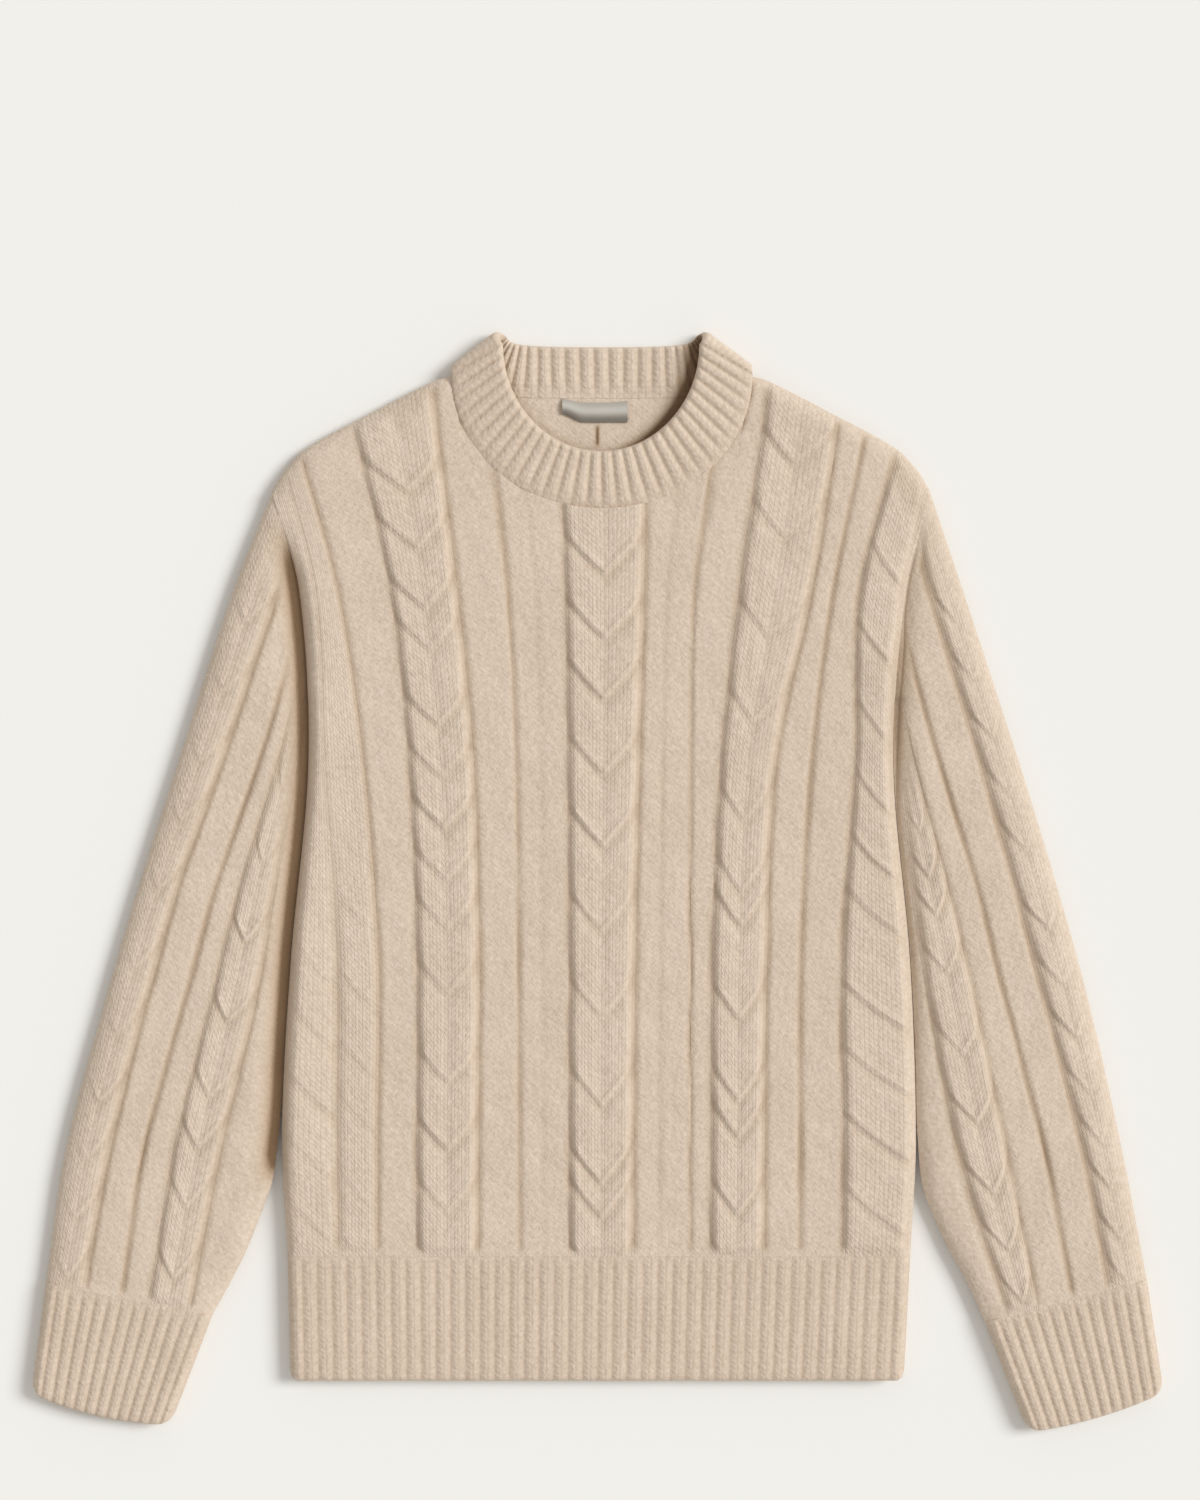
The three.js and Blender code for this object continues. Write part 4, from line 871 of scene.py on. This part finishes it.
def hem_back():
    inner = plain_face(LOWER, -INSIDE_RISE, SIDE_ROUND - WALL, WALL)
    outer = plain_face(LOWER, -RISE, UNDER_ROUND)
    ends = np.linspace(0, 0.03, 9)[:-1]
    columns = np.concatenate([ends, np.linspace(0.03, 0.97, 60), 1 - ends[::-1]])
    rows = np.linspace(0, 1, 20)
    return panel(hem_grid(columns, rows, WALL, inner), hem_grid(columns, rows, 0, outer))


# Sleeves

class Sleeve:
    def __init__(self, name):
        self.spec = SLEEVES[name]
        self.side = self.spec["side"]
        self.body_edge = left_edge if self.side < 0 else right_edge
        lines = ["outer", "ridge_a", "ridge_b", "cable_a", "cable_b"]
        self.lines = {line: self.named(*self.spec[line]) for line in lines}
        leave = curve_through(self.spec["leaves"] + [(UNDERARM_Y, 0)])
        self.lines["inner"] = (
            lambda y: self.body_edge(y) + self.side * (SLEEVE_CLEAR_OF_BODY + np.maximum(0, leave(y))),
            1, 1,
        )
        valley = self.spec["valley"]
        self.lanes = [
            ("outer", "ridge_a", "cable", name + "_outer", 28),
            ("ridge_a", "ridge_b", "ground", ((0, valley), (1, valley)), 0),
            ("ridge_b", "cable_a", "ground", ((0, valley), (1, 0.5)), 0),
            ("cable_a", "cable_b", "cable", name + "_inner", 30),
            ("cable_b", "inner", "ground", ((0, 0.6),), 0),
        ]

    def armhole(self, key):
        y = mix(SHOULDER_TIP_Y, UNDERARM_Y, key)
        return float(self.body_edge(y)) + self.side * SEAM_SHOWN, y

    def cuff_seam(self, key):
        (ax, ay), (bx, by) = self.spec["seam"]
        return mix(ax, bx, key), mix(ay, by, key) + SEAM_SHOWN / 2

    def named(self, at, top, bottom):
        top_x, top_y = self.armhole(top)
        bottom_x, bottom_y = self.cuff_seam(bottom)
        stations = [(y, at[i]) for i, y in enumerate(SLEEVE_STATIONS) if y < top_y - STATION_CLEAR]
        return curve_through([(bottom_y, bottom_x)] + stations + [(top_y, top_x)]), top, bottom

    def between(self, start, end, share, inset=0.0):
        a, b = self.lines[start], self.lines[end]
        margin = ARMHOLE_MARGIN if inset else 0
        top = min(max(mix(a[1], b[1], share), margin), 1 - margin)
        margin = inset * CUFF_SEAM_MARGIN
        bottom = min(max(mix(a[2], b[2], share), margin), 1 - margin)
        top_x, top_y = self.armhole(top)
        bottom_x, bottom_y = self.cuff_seam(bottom)

        def plain(y):
            start_x = a[0](y) - self.side * inset
            fold = 1 - ease(UNDERARM_Y - 10, UNDERARM_Y + 10, y)
            return mix(start_x, b[0](y) + self.side * inset * fold, share)

        top_shift = top_x - float(plain(top_y))
        bottom_shift = bottom_x - float(plain(bottom_y))

        def x_at(y):
            near_top = 1 - ease(0, SEAM_BEND, top_y - y)
            near_bottom = 1 - ease(0, SEAM_BEND, y - bottom_y)
            return plain(y) + top_shift * near_top + bottom_shift * near_bottom

        return x_at, top_y, bottom_y

    def edges(self, x, y):
        from_outer = self.side * (self.lines["outer"][0](y) - x) * OUTER_SLANT
        from_body = self.side * (x - self.lines["inner"][0](y))
        return from_outer, from_body

    def top_height(self, x, y, inset):
        from_outer, from_body = self.edges(x, y)
        low = side_stand(y, self.side)
        low = np.maximum(low, FOLD_WALL if inset == 0 else 0)
        tucked = CREASES[self.side]["tuck"] * crease_along(y, self.side)
        inner = low + (1 - low) * round_over(from_body - inset - tucked, SLEEVE_INNER_ROUND - inset)
        return MIDDLE + (MIDDLE - inset) * round_over(from_outer - inset, SLEEVE_OUTER_ROUND - inset) * inner

    def under_height(self, x, y, inset):
        from_outer, from_body = self.edges(x, y)
        low = back_stand(y, self.side)
        inner = low + (1 - low) * round_over(from_body - inset, UNDER_ROUND)
        return MIDDLE - (MIDDLE - inset) * round_over(from_outer - inset, UNDER_ROUND) * inner

    def surface(self, x, y, lane, share, width):
        crease = CREASES[self.side]
        deep = crease_along(y, self.side)
        from_outer, from_body = self.edges(x, y)
        whole = mix(12, crease["whole"], ease(120, 190, y))
        inside = ease(1, whole, from_body - crease["tuck"] * deep) * ease(0, PLAIN_SEAM, y - y[0])
        mask = ease(0, OUTER_FADE, from_outer) * inside
        raised, unshaded = relief(lane, share, y, width)
        soft = unevenness(x, y, 55, 21, 21)
        z = self.top_height(x, y, 0) + (raised + soft) * mask
        # Painted shade on the sleeve in the crease beside the body
        shade = np.exp(-((np.maximum(0, from_body) / crease["reach"]) ** 2))
        return z, mix(1, unshaded, mask) - crease["dark"] * deep * shade

    def outer_top(self):
        return knitted_grid(
            self.lanes, lambda name: self.lines[name][0], -60.0,
            self.between, self.surface, SLEEVE_STEP, SLEEVE_ROWS,
        )

    def face(self, shares, rows, inset, height):
        columns = []
        for share in shares:
            x_at, top, bottom = self.between("outer", "inner", share, inset)
            y = np.linspace(bottom, top, rows)
            x = x_at(y)
            columns.append((x, y, height(x, y, inset), x / WALE, y / COURSE, 1, 0.5))
        return gathered(columns)

    def shell(self):
        under = [0.01, 0.03, 0.06, 0.1, 0.2, 0.35, 0.5, 0.65, 0.8, 0.9, 0.94, 0.97, 0.99]
        faces = [
            self.outer_top(),
            self.face(under, SLEEVE_ROWS, 0, self.under_height),
            self.face([0, 0.1, 0.25, 0.4, 0.6, 0.75, 0.9, 1], INSIDE_ROWS, WALL, self.top_height),
            self.face([0.1, 0.3, 0.5, 0.7, 0.9], INSIDE_ROWS, WALL, self.under_height),
        ]
        return tube(*mirrored(faces, self.side))


def mirrored(faces, side):
    if side < 0:
        return faces
    return [tuple(part[::-1] for part in face) for face in faces]


# Cuffs

def cuff(name):
    sleeve_name, open_outer, open_inner, bow_out = CUFFS[name]
    (ax, ay), (bx, by) = SLEEVES[sleeve_name]["seam"]
    side_sign = SLEEVES[sleeve_name]["side"]

    def grid(shares, rows, inset, height):
        columns = []
        for share in shares:
            near_side = round_over(min(share, 1 - share) * CUFF_OPEN_WIDE + inset, CUFF_CORNER)
            down = rows * (1 - CUFF_CORNER / CUFF_LENGTH * (1 - near_side))
            wide = mix(CUFF_SEAM_WIDE, CUFF_OPEN_WIDE, down)
            margin = inset / wide
            here = mix(margin, 1 - margin, share)
            bow = 4 * here * (1 - here) * bow_out
            x = mix(mix(ax, bx, here), mix(open_outer[0], open_inner[0], here), down)
            seam_y = mix(ay, by, here) - SEAM_SHOWN / 2
            y = mix(seam_y, mix(open_outer[1], open_inner[1], here) - bow, down)
            side = np.minimum(here, 1 - here) * wide - inset
            z, unshaded = height(x, y, here, side, rows)
            columns.append((x, y, z, here * CUFF_RIBS, y / COURSE, 0, unshaded))
        return gathered(columns)

    def top(x, y, here, side, rows):
        ridge = rib_ridge(here * CUFF_RIBS)
        grown = ease(0, PLAIN_SEAM, rows * CUFF_LENGTH)
        soft = 0.3 * wander(x, y, 40, 31)
        from_open = (1 - rows) * CUFF_LENGTH
        return ribbed_face(MIDDLE, MIDDLE, CUFF_RIB, CUFF_SHADE, ridge, grown, soft, side, from_open)

    under = plain_face(MIDDLE, -MIDDLE, UNDER_ROUND)
    roof = plain_face(MIDDLE, MIDDLE - WALL, SIDE_ROUND - WALL)
    floor = plain_face(MIDDLE, WALL - MIDDLE, SIDE_ROUND - WALL)
    steps = 1 - fine_rows(CUFF_LENGTH)
    faces = [
        grid(np.linspace(0, 1, CUFF_RIBS * 10 + 1), steps, 0, top),
        grid([0.01, 0.03, 0.05, 0.07, 0.1, 0.3, 0.5, 0.7, 0.9, 0.93, 0.95, 0.97, 0.99], steps, 0, under),
        grid([0, 0.04, 0.1, 0.3, 0.5, 0.7, 0.9, 0.96, 1], np.linspace(1, 0, 12), WALL, roof),
        grid([0.04, 0.1, 0.5, 0.9, 0.96], np.linspace(1, 0, 12), WALL, floor),
    ]
    return tube(*mirrored(faces, side_sign))


# Neckband

def band_front(place, up):
    angle = place * math.pi / 2
    seam_x = NECK_X + (NECK_SIDE - BAND_GAP) * np.sin(angle)
    seam_y = NECK_MIDDLE_Y - (FRONT_NECK_DEPTH - BAND_GAP) * np.cos(angle)
    free_x = BAND_FREE_X + BAND_FREE_SIDE * np.sin(angle)
    free_y = BAND_FREE_Y - BAND_FREE_DEPTH * np.cos(angle)
    lift = BAND_FREE_LIFT + BAND_SIDE_LIFT * np.sin(angle) ** 2
    return np.stack([mix(seam_x, free_x, up), mix(seam_y, free_y, up), BAND_SEAM_HEIGHT + lift * up], -1)


def band_back(place, up):
    across = np.sin(place * math.pi / 2)
    dip = (BACK_NECK_DEPTH - BAND_GAP) * np.sqrt(np.maximum(0, 1 - across ** 4))
    seam_x = NECK_X + (NECK_SIDE - BAND_GAP) * across
    beyond = 1 + (NECK_SIDE * np.abs(across) / BAND_CORNER_X) ** 4
    furthest = 1 + (NECK_SIDE / BAND_CORNER_X) ** 4
    free_x = BAND_FREE_X + BAND_CORNER_X * across * (furthest / beyond) ** 0.25
    free_y = BAND_BACK_Y + BAND_CORNER_RISE * np.abs(across) ** 2.5
    height = BAND_HALF + 0 * up
    return np.stack([mix(seam_x, free_x, up), mix(NECK_MIDDLE_Y - dip, free_y, up), height], -1)


def band_fold(side, turn, up):
    start, end = band_front(side, up), band_back(side, up)
    angle = turn * math.pi
    share = 0.5 - 0.5 * math.cos(angle)
    bulge = (start[:, 2] - end[:, 2]) / 2 * math.sin(angle)
    place = mix(start, end, share)
    place[:, 0] += side * mix(0, 0.6, up) * bulge
    place[:, 1] += mix(1, 0.8, up) * bulge
    return place


def neckband():
    up = np.concatenate([np.linspace(0, BAND_TIP[0], 16), [0.93, 0.955, 0.975, 0.99, 1.0]])
    per_rib = 8
    front, back = BAND_FRONT_RIBS * per_rib, BAND_BACK_RIBS * per_rib * 2
    turns = np.linspace(0, 1, 12)[1:-1]
    # Each column: the middle of the cloth, how far it faces up, its rib, and whether it is at an end
    columns = [
        (band_front(2 * i / front - 1, up), 1, i / per_rib, i in (0, front)) for i in range(front + 1)
    ]
    columns += [(band_fold(1, turn, up), 1 - turn, turn, True) for turn in turns]
    for i in range(back + 1):
        place = 1 - 2 * i / back
        rib = BAND_BACK_RIBS * (1 - math.sin(place * math.pi / 2)) / 2
        columns.append((band_back(place, up), 0, rib, i in (0, back)))
    columns += [(band_fold(-1, turn, up), 1 - turn, turn, True) for turn in turns[::-1]]
    middle, facing, phase, at_end = (np.array(part) for part in zip(*columns))

    along = np.roll(middle, -1, 0) - np.roll(middle, 1, 0)
    upward = np.gradient(middle, axis=1)
    normal = np.cross(along, upward)
    across = np.stack([-along[:, 0, 1], along[:, 0, 0], 0 * along[:, 0, 0]], 1)
    across[at_end] = [1, 0, 0]
    across /= np.linalg.norm(across, axis=1, keepdims=True)
    normal[:, 0] -= (normal[:, 0] * across).sum(1, keepdims=True) * across
    normal /= np.linalg.norm(normal, axis=2, keepdims=True)

    grown = ease(-0.05, 0.3, up)[None, :]
    ridge = mix(0.35, rib_ridge(phase)[:, None], grown)
    inside_ridge = rib_ridge(phase)[:, None] * ease(0, 0.35, up)[None, :]
    tip = np.sqrt(np.clip(1 - ((up - BAND_TIP[0]) / BAND_TIP[1]).clip(0, 1) ** 2, 0, 1))[None, :]
    seam_round = 1 - 0.3 * (1 - round_over(up, 0.12))[None, :]
    outer = (BAND_HALF + BAND_RIB * ridge * facing[:, None]) * tip * seam_round
    inner = (BAND_HALF + BAND_RIB * inside_ridge * (1 - facing[:, None])) * tip
    knit = np.stack(np.broadcast_arrays(phase[:, None], up[None, :] * BAND_WIDE / COURSE), 2)
    # Painted shade in the rib valleys, and on the inside the painted shadow that the front band throws
    rib_unshaded = mix(1, ridge, BAND_SHADE)
    lay = np.stack(np.broadcast_arrays(0.0, rib_unshaded), 2)
    shaded = (1 - facing[:, None]) ** 0.5 * neck_shade(middle[..., 0], middle[..., 1])
    inside_lay = np.stack(np.broadcast_arrays(0.0, mix(1, rib_unshaded, grown) - shaded), 2)
    shell = Shell()
    out = shell.grid(middle + normal * outer[..., None], knit, lay)
    into = shell.grid((middle - normal * inner[..., None])[:, :-1], knit[:, :-1], inside_lay[:, :-1])
    into = np.hstack([into, out[:, -1:]])
    out, into = np.vstack([out, out[:1]]), np.vstack([into, into[:1]])
    shell.fill(out)
    shell.fill(into, up=False)
    shell.fill(np.stack([into[:, 0], out[:, 0]], 1))
    return shell


# Label, blank

def neck_label():
    """A soft strip: it bulges, and its left end turns up."""
    x = np.linspace(LABEL["left"], LABEL["right"], 60)
    share = np.linspace(0, 1, 24)
    grid_x, grid_s = np.meshgrid(x, share, indexing="ij")
    turned_up = 1 - ease(0, LABEL["end"], grid_x - LABEL["left"])
    sag = np.sin(math.pi * np.clip((grid_x - LABEL["left"]) / (LABEL["right"] - LABEL["left"]), 0, 1))
    lower = LABEL["bottom"] + LABEL["end_bottom"] * turned_up
    upper = LABEL["top"] + LABEL["end_top"] * turned_up - LABEL["sag"] * sag
    grid_y = mix(lower, upper, grid_s)
    bulge = LABEL["bulge"] * np.sin(math.pi * grid_s) ** 0.8 + LABEL["lift"] * (1 - grid_s)
    low = back_inner(grid_x, grid_y) + SEAM_GAP + bulge + 0.12 * wander(grid_x, grid_y, 18, 41)
    top = np.stack([grid_x, grid_y, low + LABEL["thickness"]], 2)
    bottom = np.stack([grid_x, grid_y, low], 2)
    # Painted light: a highlight along the bulge, and painted shade over the lower part
    crown_highlight = np.exp(-(((grid_s - 0.6) / 0.2) ** 2))
    sunk_shade = 1 - ease(0.1, 0.5, grid_s)
    lay = np.stack([crown_highlight, sunk_shade], 2)
    return panel((top, top[..., :2], lay), (bottom, bottom[..., :2], lay))


# Materials

class Nodes:
    def __init__(self, name):
        self.material = bpy.data.materials.new(name)
        self.material.use_nodes = True
        self.tree = self.material.node_tree
        self.shader = self.tree.nodes["Principled BSDF"]

    def add(self, kind, **settings):
        node = self.tree.nodes.new(kind)
        for key, value in settings.items():
            setattr(node, key, value)
        return node

    def put(self, value, socket):
        if isinstance(value, bpy.types.NodeSocket):
            self.tree.links.new(value, socket)
        else:
            socket.default_value = value

    def fill(self, node, values):
        for name, value in values.items():
            self.put(value, node.inputs[name])

    def math(self, operation, a, b=0.0, c=0.0):
        node = self.add("ShaderNodeMath", operation=operation)
        for value, socket in zip((a, b, c), node.inputs):
            self.put(value, socket)
        return node.outputs[0]

    def times(self, a, b):
        return self.math("MULTIPLY", a, b)

    def plus(self, a, b):
        return self.math("ADD", a, b)

    def line(self, value, slope, start):
        return self.math("MULTIPLY_ADD", value, slope, start)

    def less(self, a, b):
        return self.math("SUBTRACT", a, b)

    def split(self, vector):
        node = self.add("ShaderNodeSeparateXYZ")
        self.put(vector, node.inputs[0])
        return node.outputs[0], node.outputs[1]

    def uv(self, name):
        return self.split(self.add("ShaderNodeUVMap", uv_map=name).outputs[0])

    def noise(self, scale, detail, place, roughness=0.5):
        node = self.add("ShaderNodeTexNoise")
        self.fill(node, {"Scale": scale, "Detail": detail, "Roughness": roughness, "Vector": place})
        return node.outputs[0]

    def blend(self, share, a, b):
        node = self.add("ShaderNodeMix", data_type="RGBA")
        self.put(share, node.inputs[0])
        self.put(a, node.inputs[6])
        self.put(b, node.inputs[7])
        return node.outputs[2]

    def bump(self, height, strength, distance):
        node = self.add("ShaderNodeBump")
        self.fill(node, {"Strength": strength, "Distance": distance, "Height": height})
        self.put(node.outputs[0], self.shader.inputs["Normal"])


def wool(name, rib=False):
    n = Nodes(name)
    u, v = n.uv("knit")
    purl, unshaded = n.uv("lay")
    place = n.add("ShaderNodeTexCoord").outputs["Object"]
    v = n.plus(v, n.times(n.less(n.noise(90, 2, place), 0.5), 0.5))
    # Distance from the middle of a wale, 0 to 0.5
    off = n.math("ABSOLUTE", n.less(n.math("FRACT", u), 0.5))
    # Two legs of each stitch, meeting at the bottom
    slope = 0.9 if not rib else 1.1
    legs = n.math("COSINE", n.times(n.less(v, n.times(off, slope)), 2 * math.pi))
    legs = n.line(legs, 0.5, 0.5)
    rounded = n.less(1.0, n.math("POWER", n.times(off, 2.0), 4.0))
    middle = n.math("SMOOTH_MIN", n.times(off, 8.0), 1.0, 0.3)
    legs = n.times(n.line(legs, 0.75, 0.25), n.times(rounded, middle))
    # The purl side's interlocking arcs
    wave = n.times(n.math("COSINE", n.times(u, 2 * math.pi)), 1.9)
    arcs = n.math("COSINE", n.plus(n.times(v, 2 * math.pi), wave))
    arcs = n.line(arcs, 0.16, 0.45)
    stitch = n.plus(n.times(legs, n.less(1.0, purl)), n.times(arcs, purl))
    grain = n.noise(260, 2, place, 0.6)
    fuzz = n.noise(1500, 3, place, 0.65)
    height = n.line(stitch, 0.34, n.times(grain, 1.15))
    height = n.plus(height, n.times(fuzz, 0.36))
    n.bump(height, strength=0.6, distance=0.0013)

    heather = n.noise(300, 3, place, 0.6)
    cloud = n.noise(28, 2, place)
    tone = n.line(n.less(heather, 0.5), 1.7, 0.5)
    tone = n.plus(tone, n.times(n.less(cloud, 0.5), 0.5))
    ramp = n.add("ShaderNodeValToRGB")
    for stop, (position, shade) in enumerate(((0.15, WOOL_MID), (0.85, WOOL_LIGHT))):
        ramp.color_ramp.elements[stop].color = shade
        ramp.color_ramp.elements[stop].position = position
    n.put(tone, ramp.inputs[0])
    # Painted shade: the gaps between stitches are darker, and so is what lies low or under something, down
    # to a deep brown painted in the creases
    sunk_shade = n.less(1.0, n.math("SMOOTH_MIN", n.plus(stitch, 0.35), 1.0, 0.1))
    colour = n.blend(n.times(sunk_shade, 0.2), ramp.outputs[0], WOOL_SHADE)
    # How much painted shade the lay asks for, and where it turns to the crease brown
    low = n.less(1.0, unshaded)
    share = n.math("MINIMUM", n.times(low, 0.5), 0.93)
    deep = n.math("MINIMUM", n.math("MAXIMUM", n.less(low, 1.0), 0.0), 1.0)
    colour = n.blend(share, colour, n.blend(deep, WOOL_SHADE, CREASE_SHADE))
    n.fill(n.shader, {
        "Base Color": colour,
        "Roughness": 0.95,
        "Specular IOR Level": 0.15,
        "Sheen Weight": 0.25,
        "Sheen Roughness": 0.6,
        "Sheen Tint": WOOL_SHEEN,
    })
    return n.material


def satin():
    n = Nodes("label_satin")
    place = n.add("ShaderNodeTexCoord").outputs["Object"]
    x, y = n.split(place)
    across = n.math("SINE", n.times(x, 9000.0))
    along = n.math("SINE", n.times(y, 7000.0))
    weave = n.line(n.times(across, along), 0.5, 0.5)
    n.bump(weave, strength=0.3, distance=0.0002)
    crown_highlight, sunk_shade = n.uv("lay")
    # Painted highlight along the bulge, painted shade on the lower part, and darker threads of the weave
    colour = n.blend(crown_highlight, SATIN_MID, SATIN_HIGHLIGHT)
    colour = n.blend(sunk_shade, colour, SATIN_WEAVE_AND_SHADE)
    colour = n.blend(n.times(weave, 0.2), colour, SATIN_WEAVE_AND_SHADE)
    n.fill(n.shader, {"Base Color": colour, "Roughness": 0.55, "Sheen Weight": 0.2})
    return n.material


def build_sweater():
    materials = {"wool": wool("cable_wool"), "wool_rib": wool("rib_wool", rib=True), "label": satin()}
    pieces = {
        "front": (front_panel(), "front_cloth", "front_panel", "wool"),
        "back": (back_panel(), "back_cloth", "back_panel", "wool"),
        "sleeve_l": (Sleeve("sleeve_left").shell(), "sleeve_left_cloth", "sleeve_left", "wool"),
        "sleeve_r": (Sleeve("sleeve_right").shell(), "sleeve_right_cloth", "sleeve_right", "wool"),
        "hem_f": (hem_front(), "hem_front_cloth", "hem_front", "wool_rib"),
        "hem_b": (hem_back(), "hem_back_cloth", "hem_back", "wool_rib"),
        "cuff_l": (cuff("cuff_left"), "cuff_left_cloth", "cuff_left", "wool_rib"),
        "cuff_r": (cuff("cuff_right"), "cuff_right_cloth", "cuff_right", "wool_rib"),
        "band": (neckband(), "neckband_cloth", "neckband", "wool_rib"),
        "label": (neck_label(), "label_cloth", "neck_label", "label"),
    }
    made = {}
    for key, (shell, name, node, slot) in pieces.items():
        made[key] = shell.object(name, materials[slot], node, slot)
    return made


# Floor, light and camera

def pale_floor():
    mesh = bpy.data.meshes.new("floor")
    corners = [(a * FLOOR_HALF, b * FLOOR_HALF, 0) for a, b in ((-1, -1), (1, -1), (1, 1), (-1, 1))]
    mesh.from_pydata(corners, [], [(0, 1, 2, 3)])
    n = Nodes("pale_floor")
    n.fill(n.shader, {"Base Color": FLOOR_COLOUR, "Roughness": 1.0, "Specular IOR Level": 0.0})
    mesh.materials.append(n.material)
    made = placed("floor", mesh)


def lights():
    world = bpy.data.worlds.new("studio")
    world.use_nodes = True
    background = world.node_tree.nodes["Background"]
    background.inputs[0].default_value = SKY_COLOUR
    background.inputs[1].default_value = SKY_STRENGTH
    bpy.context.scene.world = world
    key = bpy.data.lights.new("key", "SUN")
    key.energy = SUN_STRENGTH
    key.angle = SUN_ANGLE
    key.color = SUN_COLOUR
    made = placed("key", key)
    made.rotation_euler = SUN_TOWARDS.to_track_quat("-Z", "Y").to_euler()
    made.location = (1.5, 1.5, 2.5)


def camera():
    data = bpy.data.cameras.new("camera")
    data.sensor_width = SENSOR
    data.lens = SENSOR * CAMERA_HEIGHT / PICTURE_TALL
    data.clip_end = 20
    made = placed("camera", data)
    centre = np.array(PICTURE_CENTRE) + SHIFT[:2]
    made.location = (centre[0] * MM, centre[1] * MM, (CAMERA_HEIGHT + CLOTH_HEIGHT) * MM)
    bpy.context.scene.camera = made


camera()
build_sweater()
pale_floor()
lights()
bpy.context.scene.view_settings.view_transform = "Standard"
